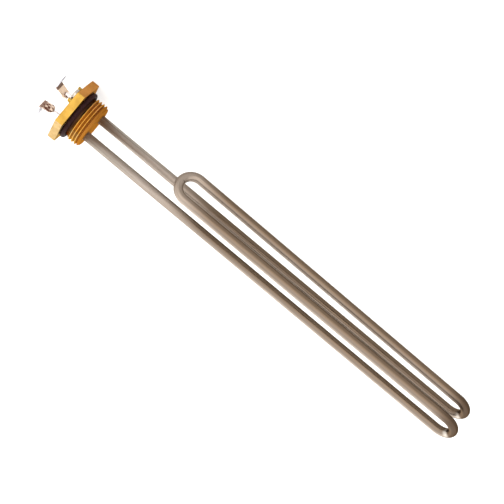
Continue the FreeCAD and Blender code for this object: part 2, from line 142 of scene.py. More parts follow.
def sideways(points, distance):
    """Move an open chain of flat points to its left, with mitred corners."""
    normals = []
    for here, ahead in zip(points, points[1:]):
        along = (ahead - here).normalized()
        normals.append(Vector((-along.y, along.x)))
    moved = [points[0] + normals[0] * distance]
    for here, before, after in zip(points[1:-1], normals, normals[1:]):
        mitre = before + after
        moved.append(here + mitre * (2 * distance / mitre.dot(mitre)))
    moved.append(points[-1] + normals[-1] * distance)
    return moved


def mesh_from(shell, name):
    """Turn a bmesh into a mesh with its normals outwards."""
    bmesh.ops.remove_doubles(shell, verts=shell.verts, dist=SAME_POINT)
    bmesh.ops.recalc_face_normals(shell, faces=shell.faces)
    mesh = bpy.data.meshes.new(name)
    shell.to_mesh(mesh)
    shell.free()
    return mesh


def lathe(name, outline, centre=(0.0, 0.0), segments=128, closed=False):
    """Turn an outline of (x, radius) points about an axis along X through centre (y, z)."""
    shell = bmesh.new()
    angles = [math.tau * i / segments for i in range(segments)]
    rings = []
    for x, radius in outline:
        if radius < SAME_POINT:
            rings.append([shell.verts.new((x, centre[0], centre[1]))] * segments)
            continue
        rings.append([
            shell.verts.new((x, centre[0] + radius * math.cos(a), centre[1] + radius * math.sin(a)))
            for a in angles
        ])
    following = rings[1:] + (rings[:1] if closed else [])
    for near, far in zip(rings, following):
        for i in range(segments):
            j = (i + 1) % segments
            corners = list(dict.fromkeys((near[i], near[j], far[j], far[i])))
            if len(corners) > 2:
                shell.faces.new(corners)
    return mesh_from(shell, name)


def cylinder(name, start, end, radius, centre=(0.0, 0.0), segments=128):
    """Closed cylinder along X between two places."""
    outline = [(start, 0.0), (start, radius), (end, radius), (end, 0.0)]
    return lathe(name, outline, centre, segments)


def prism(name, outline, place, low, high, edge=0.0):
    """Raise a flat outline between two levels; place(across, up, level) gives the point in space."""
    shell = bmesh.new()
    bottom = [shell.verts.new(place(across, up, low)) for across, up in outline]
    top = [shell.verts.new(place(across, up, high)) for across, up in outline]
    shell.faces.new(bottom)
    shell.faces.new(top)
    for i in range(len(outline)):
        j = (i + 1) % len(outline)
        shell.faces.new((bottom[i], bottom[j], top[j], top[i]))
    if edge:
        bmesh.ops.recalc_face_normals(shell, faces=shell.faces)
        bmesh.ops.bevel(
            shell, geom=list(shell.edges), offset=edge, segments=3, profile=0.5, affect="EDGES"
        )
    return mesh_from(shell, name)


def route_mesh(name, corners):
    """Chain of edges through the corners of a route."""
    mesh = bpy.data.meshes.new(name)
    mesh.from_pydata(corners, [(i, i + 1) for i in range(len(corners) - 1)], [])
    return mesh


def add_object(name, data):
    """Put a mesh, a lamp or a camera in the scene as an object at the origin."""
    made = bpy.data.objects.new(name, data)
    bpy.context.scene.collection.objects.link(made)
    return made


def settle(made):
    """Turn an object and its modifiers into a plain mesh."""
    evaluated = made.evaluated_get(bpy.context.evaluated_depsgraph_get())
    mesh = bpy.data.meshes.new_from_object(evaluated)
    made.modifiers.clear()
    made.data = mesh
    return made


def bevel(made, width, segments, sharp_angle):
    """Add a modifier that rounds the edges over an angle."""
    step = made.modifiers.new("edges", "BEVEL")
    step.width = width
    step.segments = segments
    step.limit_method = "ANGLE"
    step.angle_limit = math.radians(sharp_angle)


def combine(made, mesh, operation):
    """Join a closed mesh to an object, or cut it out."""
    tool = add_object("tool", mesh)
    step = made.modifiers.new("combine", "BOOLEAN")
    step.operation = operation
    step.solver = "MANIFOLD"
    step.object = tool
    settle(made)
    bpy.data.objects.remove(tool)
    return made


def smooth(made, sharp_angle=32.0):
    """Merge slivers, shade smoothly, keep sharp edges and let large faces lead the normals."""
    shell = bmesh.new()
    shell.from_mesh(made.data)
    bmesh.ops.remove_doubles(shell, verts=shell.verts, dist=SLIVER)
    bmesh.ops.dissolve_degenerate(shell, edges=shell.edges, dist=SLIVER)
    shell.to_mesh(made.data)
    shell.free()
    made.data.shade_smooth()
    made.data.set_sharp_from_angle(angle=math.radians(sharp_angle))
    lead = made.modifiers.new("lead", "WEIGHTED_NORMAL")
    lead.keep_sharp = True
    lead.weight = 80
    return settle(made)


def dress(made, material, node):
    """Give a finished piece its material and its place in the part, instead of the plain solid."""
    made.data.materials.clear()
    made.data.materials.append(material)
    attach(made, "root")
    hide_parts(node)


# Node trees.


def feed(tree, socket, given):
    """Give a socket a number, a colour or the output that feeds it."""
    if isinstance(given, bpy.types.NodeSocket):
        tree.links.new(given, socket)
    else:
        socket.default_value = given


def add_node(tree, kind, sockets=None, **settings):
    """Add a node with its settings and feed its sockets."""
    made = tree.nodes.new(kind)
    for key, setting in settings.items():
        setattr(made, key, setting)
    for key, given in (sockets or {}).items():
        feed(tree, made.inputs[key], given)
    return made


def math_node(tree, operation, *given):
    """Add a Math node and give back its output."""
    return add_node(tree, "ShaderNodeMath", dict(enumerate(given)), operation=operation).outputs[0]


def ramp(tree, value, low, high, to_low, to_high, kind="SMOOTHSTEP"):
    """Map a range of a value to another, held at its ends."""
    return add_node(tree, "ShaderNodeMapRange", {
        "Value": value, "From Min": low, "From Max": high, "To Min": to_low, "To Max": to_high,
    }, interpolation_type=kind).outputs[0]


def separated(tree, vector):
    """Parts X, Y and Z of a vector."""
    return add_node(tree, "ShaderNodeSeparateXYZ", {0: vector}).outputs


def combined(tree, **parts):
    """Vector from its parts X, Y and Z."""
    return add_node(tree, "ShaderNodeCombineXYZ", parts).outputs[0]


def field(tree, kind, output=0):
    """Output of a node that needs no input."""
    return tree.nodes.new(kind).outputs[output]


def shape_tree(name, **labels):
    """Start a Geometry Nodes tree; labels names its inputs, sorted by their type."""
    tree = bpy.data.node_groups.new(name, "GeometryNodeTree")
    for kind, names in {"Geometry": ["Geometry"], **labels, "Material": ["Material"]}.items():
        for label in names:
            tree.interface.new_socket(label, in_out="INPUT", socket_type=f"NodeSocket{kind}")
    tree.interface.new_socket("Geometry", in_out="OUTPUT", socket_type="NodeSocketGeometry")
    return tree, tree.nodes.new("NodeGroupInput").outputs


def end_tree(tree, geometry, material):
    """End a tree in real geometry with its material."""
    real = add_node(tree, "GeometryNodeRealizeInstances", {"Geometry": geometry})
    painted = add_node(
        tree, "GeometryNodeSetMaterial", {"Geometry": real.outputs[0], "Material": material}
    )
    out = tree.nodes.new("NodeGroupOutput")
    tree.links.new(painted.outputs[0], out.inputs[0])
    return tree


def grow(name, mesh, tree, **inputs):
    """Run a Geometry Nodes tree on a mesh and keep the result as a plain mesh."""
    made = add_object(name, mesh)
    step = made.modifiers.new("shape", "NODES")
    step.node_group = tree
    named = {item.name: item.identifier for item in tree.interface.items_tree}
    for label, given in inputs.items():
        step[named[label.replace("_", " ").title()]] = given
    return settle(made)


def thread_tree():
    """Solid rod with a right-hand helical thread, closed at both ends.

    The rows of a grid follow the helix, so a row is one line of the thread's profile. The rows are
    held between the two ends, and the smoothed triangle gives rounded crests and roots with flanks
    near those of a pipe thread. The first and the last row close the rod on its axis.
    """
    tree, given = shape_tree(
        "helical_thread",
        Float=(
            "Crest Radius", "Root Radius", "Start Radius", "Pitch", "First Root", "Start", "End",
            "Runout", "Chamfer", "Axis Y",
        ),
        Int=("Segments", "Rows"),
    )
    calc = partial(math_node, tree)
    spare_turns = 2.0
    span = calc("SUBTRACT", given["End"], given["Start"])
    turns = calc("ADD", calc("DIVIDE", span, given["Pitch"]), spare_turns)
    rows = calc("ADD", calc("CEIL", calc("MULTIPLY", turns, given["Rows"])), 1.0)
    length = calc("ADD", rows, 1.0)
    grid = add_node(tree, "GeometryNodeMeshGrid", {
        "Size X": given["Segments"],
        "Size Y": length,
        "Vertices X": calc("ADD", given["Segments"], 1.0),
        "Vertices Y": calc("ADD", rows, 2.0),
    })
    flat = separated(tree, field(tree, "GeometryNodeInputPosition"))
    across = calc("DIVIDE", flat["X"], given["Segments"])
    angle = calc("MULTIPLY", calc("ADD", across, 0.5), math.tau)
    row = calc("ROUND", calc("ADD", flat["Y"], calc("MULTIPLY", length, 0.5)))
    turn = calc("DIVIDE", calc("SUBTRACT", row, 1.0), given["Rows"])
    helix = calc("ADD", turn, calc("DIVIDE", angle, math.tau))
    shift = calc("SUBTRACT", helix, spare_turns)
    free_x = calc("ADD", given["First Root"], calc("MULTIPLY", shift, given["Pitch"]))
    x = calc("MINIMUM", calc("MAXIMUM", free_x, given["Start"]), given["End"])

    triangle = calc("ABSOLUTE", calc("SUBTRACT", calc("MULTIPLY", calc("FRACT", turn), 2.0), 1.0))
    cut = ramp(tree, triangle, 0.0, 1.0, given["Crest Radius"], given["Root Radius"])
    run_end = calc("ADD", given["Start"], given["Runout"])
    lead_in = ramp(
        tree, x, given["Start"], run_end, given["Start Radius"], given["Crest Radius"], "LINEAR"
    )
    chamfer_start = calc("SUBTRACT", given["End"], given["Chamfer"])
    end_radius = calc("SUBTRACT", given["Crest Radius"], given["Chamfer"])
    lead_out = ramp(
        tree, x, chamfer_start, given["End"], given["Crest Radius"], end_radius, "LINEAR"
    )
    skin = calc("MINIMUM", cut, calc("MINIMUM", lead_in, lead_out))
    after_first = calc("GREATER_THAN", row, 0.5)
    before_last = calc("LESS_THAN", row, calc("ADD", rows, 0.5))
    radius = calc("MULTIPLY", skin, calc("MULTIPLY", after_first, before_last))
    y = calc("ADD", calc("MULTIPLY", radius, calc("COSINE", angle)), given["Axis Y"])
    z = calc("MULTIPLY", radius, calc("SINE", angle))
    moved = add_node(tree, "GeometryNodeSetPosition", {
        "Geometry": grid.outputs["Mesh"], "Position": combined(tree, X=x, Y=y, Z=z),
    })
    closed = add_node(
        tree, "GeometryNodeMergeByDistance", {"Geometry": moved.outputs[0], "Distance": SEAM}
    )
    return end_tree(tree, closed.outputs[0], given["Material"])


def route_curve(tree, given):
    """Turn a chain of edges into a curve with rounded corners."""
    chain = add_node(tree, "GeometryNodeMeshToCurve", {"Mesh": given["Geometry"]})
    return add_node(tree, "GeometryNodeFilletCurve", {
        "Curve": chain.outputs[0],
        "Radius": given["Bend Radius"],
        "Limit Radius": True,
        "Count": given["Bend Steps"],
    }, mode="POLY").outputs[0]


def circle_curve(tree, segments, radius):
    """Round section of a rod or wire."""
    return add_node(
        tree, "GeometryNodeCurvePrimitiveCircle", {"Resolution": segments, "Radius": radius}
    ).outputs["Curve"]


def captured(tree, geometry, kind, label, value):
    """Keep a value with the points of a curve; the outputs are the curve and the value."""
    kept = add_node(tree, "GeometryNodeCaptureAttribute", {"Geometry": geometry})
    kept.capture_items.new(kind, label)
    tree.links.new(value, kept.inputs[label])
    return kept.outputs


def stored(tree, geometry, label, value):
    """Keep a vector with the points of a mesh, for its finish to read."""
    return add_node(tree, "GeometryNodeStoreNamedAttribute", {
        "Geometry": geometry, "Name": label, "Value": value,
    }, data_type="FLOAT_VECTOR", domain="POINT").outputs[0]


def rod_tree():
    """Round rod or tube along a route.

    Each point keeps its place on the straightened rod and the direction in which it faces.
    """
    tree, given = shape_tree(
        "rod_along_route",
        Float=("Bend Radius", "Rod Radius"), Int=("Bend Steps", "Segments"), Bool=("Closed Ends",),
    )
    length = field(tree, "GeometryNodeSplineParameter", "Length")
    route = captured(tree, route_curve(tree, given), "FLOAT", "along", length)
    circle = circle_curve(tree, given["Segments"], given["Rod Radius"])
    position = field(tree, "GeometryNodeInputPosition")
    section = captured(tree, circle, "VECTOR", "around", position)
    skin = add_node(tree, "GeometryNodeCurveToMesh", {
        "Curve": route["Geometry"],
        "Profile Curve": section["Geometry"],
        "Fill Caps": given["Closed Ends"],
    }).outputs[0]
    around = separated(tree, section["around"])
    straight = combined(tree, X=around["X"], Y=around["Y"], Z=route["along"])
    skin = stored(tree, skin, "straightened", straight)
    skin = stored(tree, skin, "outwards", field(tree, "GeometryNodeInputNormal"))
    return end_tree(tree, skin, given["Material"])


def coil_tree():
    """Wire wound as a helix round a route."""
    tree, given = shape_tree(
        "coil_along_route",
        Float=("Bend Radius", "Coil Radius", "Wire Radius", "Pitch"),
        Int=("Bend Steps", "Steps", "Segments"),
    )
    calc = partial(math_node, tree)
    even = add_node(tree, "GeometryNodeResampleCurve", {
        "Curve": route_curve(tree, given), "Length": calc("DIVIDE", given["Pitch"], given["Steps"]),
    }, mode="LENGTH").outputs[0]
    along = field(tree, "GeometryNodeSplineParameter", "Length")
    outwards = add_node(tree, "ShaderNodeVectorRotate", {
        "Vector": field(tree, "GeometryNodeInputNormal"),
        "Axis": field(tree, "GeometryNodeInputTangent"),
        "Angle": calc("MULTIPLY", calc("DIVIDE", along, given["Pitch"]), math.tau),
    }, rotation_type="AXIS_ANGLE").outputs[0]
    reach = calc("SUBTRACT", given["Coil Radius"], given["Wire Radius"])
    offset = add_node(tree, "ShaderNodeVectorMath", {0: outwards, "Scale": reach}, operation="SCALE")
    helix = add_node(tree, "GeometryNodeSetPosition", {"Geometry": even, "Offset": offset.outputs[0]})
    wire = add_node(tree, "GeometryNodeCurveToMesh", {
        "Curve": helix.outputs[0],
        "Profile Curve": circle_curve(tree, given["Segments"], given["Wire Radius"]),
        "Fill Caps": True,
    })
    return end_tree(tree, wire.outputs[0], given["Material"])


# Finishes.


def shade(colour, amount):
    """Scale a colour's brightness."""
    return tuple(min(1.0, part * amount) for part in colour)


class Finish:
    """A material in the making: its nodes, its coordinates and its tone so far."""

    def __init__(self, name):
        self.material = bpy.data.materials.new(name)
        self.material.use_nodes = True
        self.tree = self.material.node_tree
        self.shader = self.tree.nodes["Principled BSDF"]
        self.place = field(self.tree, "ShaderNodeTexCoord", "Object")
        self.pattern = self.place
        self.tone = None

    def axis(self, label):
        """Place of a point along one axis."""
        return separated(self.tree, self.place)[label]

    def vector_number(self, operation, *given):
        """Number that comes from one vector or two."""
        return add_node(
            self.tree, "ShaderNodeVectorMath", dict(enumerate(given)), operation=operation
        ).outputs["Value"]

    def radius(self):
        """Distance from the thread's axis."""
        flat = combined(self.tree, Y=self.axis("Y"), Z=self.axis("Z"))
        return self.vector_number("LENGTH", flat)

    def attribute(self, name):
        """Vector that the piece's points carry."""
        return add_node(self.tree, "ShaderNodeAttribute", attribute_name=name).outputs["Vector"]

    def calc(self, operation, *given):
        """Work out a number from one or two others."""
        return math_node(self.tree, operation, *given)

    def product(self, first, *others):
        """Multiply numbers."""
        for other in others:
            first = self.calc("MULTIPLY", first, other)
        return first

    def total(self, first, *others):
        """Add numbers up."""
        for other in others:
            first = self.calc("ADD", first, other)
        return first

    def ramp(self, value, low, high, to_low, to_high):
        """Go from one number to another over a range of a value."""
        return ramp(self.tree, value, low, high, to_low, to_high)

    def rise(self, value, low, high, most=1.0):
        """Go from nothing to the most over a range of a value."""
        return self.ramp(value, low, high, 0.0, most)

    def fall(self, value, low, high, most=1.0):
        """Go from the most to nothing over a range of a value."""
        return self.ramp(value, low, high, most, 0.0)

    def noise(self, scale, detail=4.0, roughness=0.55, stretch=None, place=None):
        """Noise between 0 and 1, drawn out along the axes whose stretch is small."""
        place = place or self.pattern
        if stretch:
            place = add_node(
                self.tree, "ShaderNodeMapping", {"Vector": place, "Scale": stretch}
            ).outputs[0]
        return add_node(self.tree, "ShaderNodeTexNoise", {
            "Vector": place, "Scale": scale, "Detail": detail, "Roughness": roughness,
        }).outputs["Fac"]

    def mix(self, share, first, second, mode="MIX"):
        """Mix two colours."""
        made = add_node(
            self.tree, "ShaderNodeMix", {"Factor": share}, data_type="RGBA", blend_type=mode
        )
        for socket, given in ((made.inputs[6], first), (made.inputs[7], second)):
            linked = isinstance(given, bpy.types.NodeSocket)
            feed(self.tree, socket, given if linked else (*given[:3], 1.0))
        return made.outputs[2]

    def mix_numbers(self, share, first, second):
        """Mix two numbers."""
        return add_node(
            self.tree, "ShaderNodeMix", {"Factor": share, 2: first, 3: second}, data_type="FLOAT"
        ).outputs[0]

    def cover(self, share, colour):
        """Lay a colour over the tone, as thickly as the share says."""
        self.tone = self.mix(share, self.tone, colour)

    def darken(self, colour):
        """Multiply the tone by a colour."""
        self.tone = self.mix(1.0, self.tone, colour, "MULTIPLY")

    def relief(self, height, strength, depth):
        """Raise and sink the surface's shading by a height."""
        bump = add_node(
            self.tree, "ShaderNodeBump", {"Height": height, "Strength": strength, "Distance": depth}
        )
        feed(self.tree, self.shader.inputs["Normal"], bump.outputs[0])

    def done(self, sockets):
        """Feed the tone and the other sockets to the shader and give the material."""
        for label, given in {"Base Color": self.tone, **sockets}.items():
            feed(self.tree, self.shader.inputs[label], given)
        return self.material


def brass_finish(colours, plug):
    """Forged and turned brass: painted shade below and a painted highlight on top, aged faces, painted
    shade in the thread roots and of the seal on the neck, and turned rings.
    """
    paint = Finish("plug_brass")
    x = paint.axis("X")
    radius = paint.radius()
    on_thread = paint.rise(x, 1.0 * MM, 2.0 * MM)
    # How far a point is turned towards terminal b: 1 straight at it, 0 square to it, -1 away from it.
    turned_to = paint.calc("DIVIDE", paint.axis("Z"), radius)
    corner = math.cos(math.pi / 6)
    # Painted light and shade: the lower side gets a warmer shaded copy of the brass, and the top flat
    # and the thread's upper side get a paler lit copy.
    shaded_side = paint.mix_numbers(
        on_thread, paint.fall(turned_to, -0.03, 0.01), paint.fall(turned_to, -0.2, 0.1)
    )
    lit_side = paint.mix_numbers(
        on_thread,
        paint.rise(turned_to, corner - 0.004, corner + 0.004), paint.rise(turned_to, 0.88, 0.94),
    )
    paint.tone = paint.mix(on_thread, colours.brass, colours.brass_thread)
    paint.cover(shaded_side, paint.mix(on_thread, colours.brass_shaded, colours.thread_shaded))
    paint.cover(lit_side, paint.mix(on_thread, colours.brass_lit, colours.thread_lit))

    face = -plug.hex_height
    on_face = paint.fall(x, face + 0.05 * MM, face + 0.25 * MM)
    wall = plug.recess_radius
    floor = plug.floor_x
    in_recess = paint.product(
        paint.fall(radius, wall + 0.3 * MM, wall + 0.8 * MM),
        paint.fall(x, floor + 0.3 * MM, floor + 1.0 * MM),
    )
    patina = paint.rise(paint.noise(150.0, 6.0, 0.68), 0.46, 0.66, 0.6)
    aged = paint.mix(patina, colours.brass_face, colours.brass_patina)
    paint.cover(paint.calc("MAXIMUM", on_face, in_recess), aged)

    cloudy = paint.noise(130.0, 6.0, 0.62)
    paint.darken(paint.mix(paint.rise(cloudy, 0.3, 0.72), (0.76, 0.74, 0.70), WHITE))
    paint.cover(paint.rise(paint.noise(420.0, 5.0, 0.7), 0.56, 0.74, 0.5), colours.brass_stain_and_shade)
    # Painted shade: the thread's roots are darkened with the stain colour.
    root_shade = paint.fall(radius, plug.root_radius, plug.crest_radius - 0.25 * MM)
    paint.cover(paint.product(root_shade, on_thread, 0.5), colours.brass_stain_and_shade)
    at_end = paint.rise(x, plug.thread_end - 3.2 * MM, plug.thread_end - 2.4 * MM)
    paint.cover(at_end, colours.brass_end)
    # Painted shadow of the seal: the neck beside it is darkened almost to black.
    neck = paint.fall(x, plug.neck_end + 0.2 * MM, plug.neck_end + 1.0 * MM, 0.95)
    paint.cover(paint.product(neck, on_thread), shade(colours.rubber, 1.6))

    rings = paint.noise(5200.0, 3.0, 0.6, place=combined(paint.tree, X=x, Y=radius))
    turned = paint.fall(radius, plug.crest_radius + 0.3 * MM, plug.crest_radius + 0.6 * MM)
    grain = paint.noise(2600.0, 3.0, 0.6)
    paint.relief(paint.mix_numbers(turned, grain, rings), 0.30, 0.06 * MM)
    rough = paint.mix_numbers(at_end, paint.ramp(cloudy, 0.25, 0.75, 0.48, 0.34), 0.66)
    return paint.done({
        "Roughness": rough, "Metallic": 1.0, "Specular Tint": (*colours.brass_edge, 1.0),
    })


def rubber_finish(colours):
    """Moulded rubber with a fine bloom."""
    paint = Finish("seal_rubber")
    bloom = paint.noise(700.0, 5.0, 0.6)
    paint.tone = paint.mix(paint.rise(bloom, 0.35, 0.75), colours.rubber, shade(colours.rubber, 2.0))
    paint.relief(paint.noise(4200.0, 2.0), 0.15, 0.04 * MM)
    rough = paint.ramp(bloom, 0.3, 0.7, 0.42, 0.62)
    return paint.done({"Roughness": rough, "Specular IOR Level": 0.03})


def sheath_finish(colours):
    """Drawn steel: clean at the plug, dark where it heats, streaked, with painted light and shade by
    the way it faces, and painted glints in its far bends.
    """
    paint = Finish("sheath_steel")
    paint.pattern = paint.attribute("straightened")
    x = paint.axis("X")
    # Painted light and shade: the side that faces the light gets a paler lit copy with a painted
    # highlight line, and the other side keeps the dark copy.
    lit_facing = paint.vector_number("DOT_PRODUCT", paint.attribute("outwards"), PAINTED_LIGHT_SIDE)
    scale_lit_and_shaded = paint.mix(paint.rise(lit_facing, -0.3, 0.6), colours.sheath_hot, colours.sheath_lit)
    scale_lit_and_shaded = paint.mix(paint.rise(lit_facing, 0.45, 1.0), scale_lit_and_shaded, colours.sheath_lit_rim)
    paint.tone = paint.mix(paint.rise(x, 20.0 * MM, 70.0 * MM), colours.sheath_cold, colours.sheath)
    paint.cover(paint.rise(x, 60.0 * MM, 120.0 * MM), scale_lit_and_shaded)
    # Painted shade: from 50 mm on, the side turned from the light is darkened further.
    lower = paint.product(paint.rise(x, 50.0 * MM, 90.0 * MM), paint.fall(lit_facing, -0.7, 0.3), 0.3)
    paint.cover(lower, colours.sheath_tint_and_shade)

    cloud = paint.noise(240.0, 5.0, 0.6, stretch=(1.0, 1.0, 0.16))
    band = paint.noise(26.0, 3.0, 0.6, stretch=(0.02, 0.02, 1.0))
    lines = paint.noise(1100.0, 4.0, 0.6, stretch=(1.0, 1.0, 0.012))
    paint.cover(paint.fall(cloud, 0.3, 0.7, 0.25), colours.sheath_tint_and_shade)
    paint.cover(paint.rise(band, 0.45, 0.7, 0.3), colours.sheath_tint_and_shade)
    paint.cover(paint.rise(lines, 0.50, 0.66, 0.45), colours.sheath_tint_and_shade)
    specks = paint.noise(900.0, 4.0, 0.75)
    paint.cover(paint.rise(specks, 0.62, 0.74, 0.6), shade(colours.sheath, 0.45))

    far = TUBE_HIGH.x
    outside = paint.rise(paint.axis("Y"), 3.5 * MM, 9.0 * MM)
    bent = paint.product(paint.rise(x, far - 26.0 * MM, far - 8.0 * MM), outside, 0.8)
    paint.cover(bent, colours.sheath_bent)
    # Painted highlight: a glint on the inner side of each far bend.
    painted_glint = 0.0
    for side in SIDES.values():
        spot = (far - 5.2 * MM, 5.6 * MM, side * LEG_Z + 1.5 * MM)
        away = paint.vector_number("DISTANCE", paint.place, spot)
        painted_glint = paint.calc("MAXIMUM", painted_glint, paint.fall(away, 0.8 * MM, 3.6 * MM, 0.9))
    paint.cover(painted_glint, colours.sheath_glint)

    streaks = paint.noise(3400.0, 3.0, 0.6, stretch=(1.0, 1.0, 0.02))
    paint.relief(paint.total(streaks, paint.product(specks, 0.6)), 0.22, 0.05 * MM)
    rough = paint.total(
        paint.ramp(cloud, 0.3, 0.7, 0.32, 0.22), paint.rise(streaks, 0.3, 0.7, 0.08),
        paint.fall(x, 30.0 * MM, 100.0 * MM, 0.26),
    )
    return paint.done({
        "Roughness": rough, "Metallic": 1.0, "Specular Tint": (*colours.sheath_edge, 1.0),
    })


def metal_finish(name, base, dark, rough):
    """Small metal piece: cloudy tone, smudged gloss and fine scratches."""
    paint = Finish(name)
    cloud = paint.noise(450.0, 5.0, 0.6)
    paint.tone = paint.mix(paint.rise(cloud, 0.38, 0.72), base, dark)
    scratches = paint.noise(5400.0, 3.0, 0.7, stretch=SCRATCHED)
    paint.relief(scratches, 0.12, 0.03 * MM)
    smudged = paint.ramp(cloud, 0.3, 0.7, rough, rough + 0.14)
    scratched = paint.rise(scratches, 0.4, 0.7, 0.08)
    return paint.done({"Roughness": paint.total(smudged, scratched), "Metallic": 1.0})


def plating_finish(name, colours, weld, burn, bend, outwards, blade):
    """Satin tin plating: scorched in a ring round the weld, smudged, with painted shade at its bend and
    a grey painted reflection on its blade.
    """
    paint = Finish(name)
    past_bend = paint.product(paint.calc("SUBTRACT", paint.axis("Y"), bend.y), outwards)
    on_blade = paint.rise(past_bend, 0.3 * MM, 1.0 * MM)
    smudge = paint.noise(260.0, 5.0, 0.6)
    # Painted reflection: past the bend, the blade takes a darker grey copy of the plating.
    paint.tone = paint.mix(on_blade, colours.plating, blade)
    paint.darken(paint.mix(paint.rise(smudge, 0.4, 0.72), WHITE, (0.80, 0.77, 0.74)))

    ragged = paint.product(paint.noise(900.0, 4.0, 0.7), 1.6 * MM)
    reach = paint.total(paint.vector_number("DISTANCE", paint.place, weld), ragged, -0.8 * MM)
    patches = paint.noise(900.0, 3.0, 0.7, stretch=(0.3, 1.0, 1.0))
    speckled = paint.ramp(patches, 0.46, 0.56, 1.0, 0.35)
    paint.cover(paint.product(paint.fall(reach, burn * 0.6, burn), speckled), colours.scorch_and_shade)
    paint.cover(paint.fall(reach, 0.7 * MM, 1.3 * MM, 0.9), colours.weld_tint)
    # Painted shade: the arm is darkened at its bend with the scorch colour.
    bend_shade = paint.fall(paint.axis("X"), bend.x + 1.4 * MM, bend.x + 2.0 * MM, 0.8)
    paint.cover(paint.product(bend_shade, paint.calc("SUBTRACT", 1.0, on_blade)), colours.scorch_and_shade)

    paint.relief(paint.noise(5400.0, 3.0, 0.7, stretch=SCRATCHED), 0.12, 0.03 * MM)
    satin = paint.ramp(smudge, 0.3, 0.7, 0.55, 0.72)
    rough = paint.calc("SUBTRACT", satin, paint.product(on_blade, 0.2))
    return paint.done({"Roughness": rough, "Metallic": 1.0})


def pin_finish(colours):
    """Drawn pin: bright where it stands free and darker in its recess."""
    paint = Finish("pin_steel")
    cloud = paint.noise(450.0, 5.0, 0.6)
    paint.tone = paint.mix(paint.rise(cloud, 0.4, 0.72), colours.pin, shade(colours.pin, 0.7))
    paint.cover(paint.rise(paint.axis("X"), -7.0 * MM, -4.5 * MM), colours.pin_recessed)
    paint.relief(paint.noise(5200.0, 3.0, 0.7, stretch=(0.06, 1.0, 1.0)), 0.14, 0.03 * MM)
    return paint.done({"Roughness": paint.ramp(cloud, 0.3, 0.7, 0.42, 0.6), "Metallic": 1.0})


def fired_finish(name, base, dark, glaze):
    """Fired ceramic, pressed powder or set resin: speckled body under a thin glaze."""
    paint = Finish(name)
    body = paint.noise(520.0, 6.0, 0.6)
    paint.tone = paint.mix(paint.rise(body, 0.42, 0.72), base, dark)
    paint.relief(paint.noise(3000.0, 3.0), 0.1, 0.04 * MM)
    rough = paint.ramp(body, 0.3, 0.7, 0.34, 0.5)
    return paint.done({"Roughness": rough, "Coat Weight": glaze, "Coat Roughness": 0.12})


def floor_finish(colours, glow):
    """Plain pale sheet lit from below, with the faintest mottle."""
    paint = Finish("studio_floor")
    mottle = paint.rise(paint.noise(9.0), 0.35, 0.65)
    paint.tone = paint.mix(mottle, shade(colours.floor, 0.985), colours.floor)
    return paint.done({
        "Roughness": 0.9, "Specular IOR Level": 0.1,
        "Emission Color": (1.0, 0.99, 0.98, 1.0), "Emission Strength": glow,
    })


# Sizes and colours that a user would change.


def length_property(label, text, default):
    """A length with its name, its meaning and its default."""
    return FloatProperty(
        name=label, description=text, default=default, min=0.0, unit="LENGTH", precision=4
    )


def angle_property(label, text, degrees):
    """An angle with its name, its meaning and its default."""
    return FloatProperty(
        name=label, description=text, default=math.radians(degrees), unit="ROTATION"
    )


def light_property(label, text, default):
    """An amount of light without a unit, with its name, its meaning and its default."""
    return FloatProperty(name=label, description=text, default=default, min=0.0)


def power_property(label, text, default):
    """A lamp's power with its name, its meaning and its default."""
    return FloatProperty(name=label, description=text, default=default, min=0.0, unit="POWER")


def place_property(label, text, default):
    """A place in space with its name, its meaning and its default."""
    return FloatVectorProperty(
        name=label, description=text, default=default, subtype="XYZ", unit="LENGTH", precision=5
    )


def colour_property(label, text, default):
    """A colour with its name, its meaning and its default."""
    return FloatVectorProperty(
        name=label, description=text, default=default, subtype="COLOR", size=3, min=0.0, max=1.0
    )


class PlugSettings(bpy.types.PropertyGroup):
    """Sizes of the brass plug."""

    across_flats: length_property("Across Flats", "Spanner size of the hexagon", PLUG_HIGH.z * 2)
    hex_height: length_property("Hexagon Height", "Thickness of the hexagon", 5.9 * MM)
    corner_round: length_property("Corner Rounding", "Rounding of the hexagon's edges", 0.3 * MM)
    neck_radius: length_property("Neck Radius", "Neck that carries the seal", SEAL_HIGH.z - SEAL_HIGH.x)
    neck_end: length_property("Neck End", "Where the thread begins", 4.6 * MM)
    thread_end: length_property("Thread End", "End face of the plug", PLUG_HIGH.x)
    crest_radius: length_property("Crest Radius", "Radius over the thread's crests", 16.62 * MM)
    root_radius: length_property("Root Radius", "Radius in the thread's roots", 15.145 * MM)
    thread_pitch: length_property("Pitch", "Distance between two crests", 2.309 * MM)
    first_root: length_property(
        "First Root", "Where the first groove passes the screw's side", 4.86 * MM
    )
    thread_runout: length_property("Runout", "Length over which the crests rise", 0.8 * MM)
    thread_chamfer: length_property("Chamfer", "Lead chamfer at the end", 1.6 * MM)
    recess_radius: length_property("Recess Radius", "Terminal recess", 13.9 * MM)
    floor_x: length_property("Recess Floor", "Where the recess floor lies", BRAZE_HIGH.x)
    line_radius: length_property("Floor Line", "Fine turned line on the floor", 6.0 * MM)
    rib_pitch: length_property("Rib Pitch", "Distance between the two ribs", 10.9 * MM)
    rib_width: length_property("Rib Width", "Thickness of a rib", 1.4 * MM)
    rib_start: length_property("Rib Start", "Inner end of a rib", 14.8 * MM)
    rib_end: length_property("Rib End", "Outer end of a rib", 20.0 * MM)
    rib_ramp: length_property("Rib Ramp", "Length over which a rib rises", 2.2 * MM)


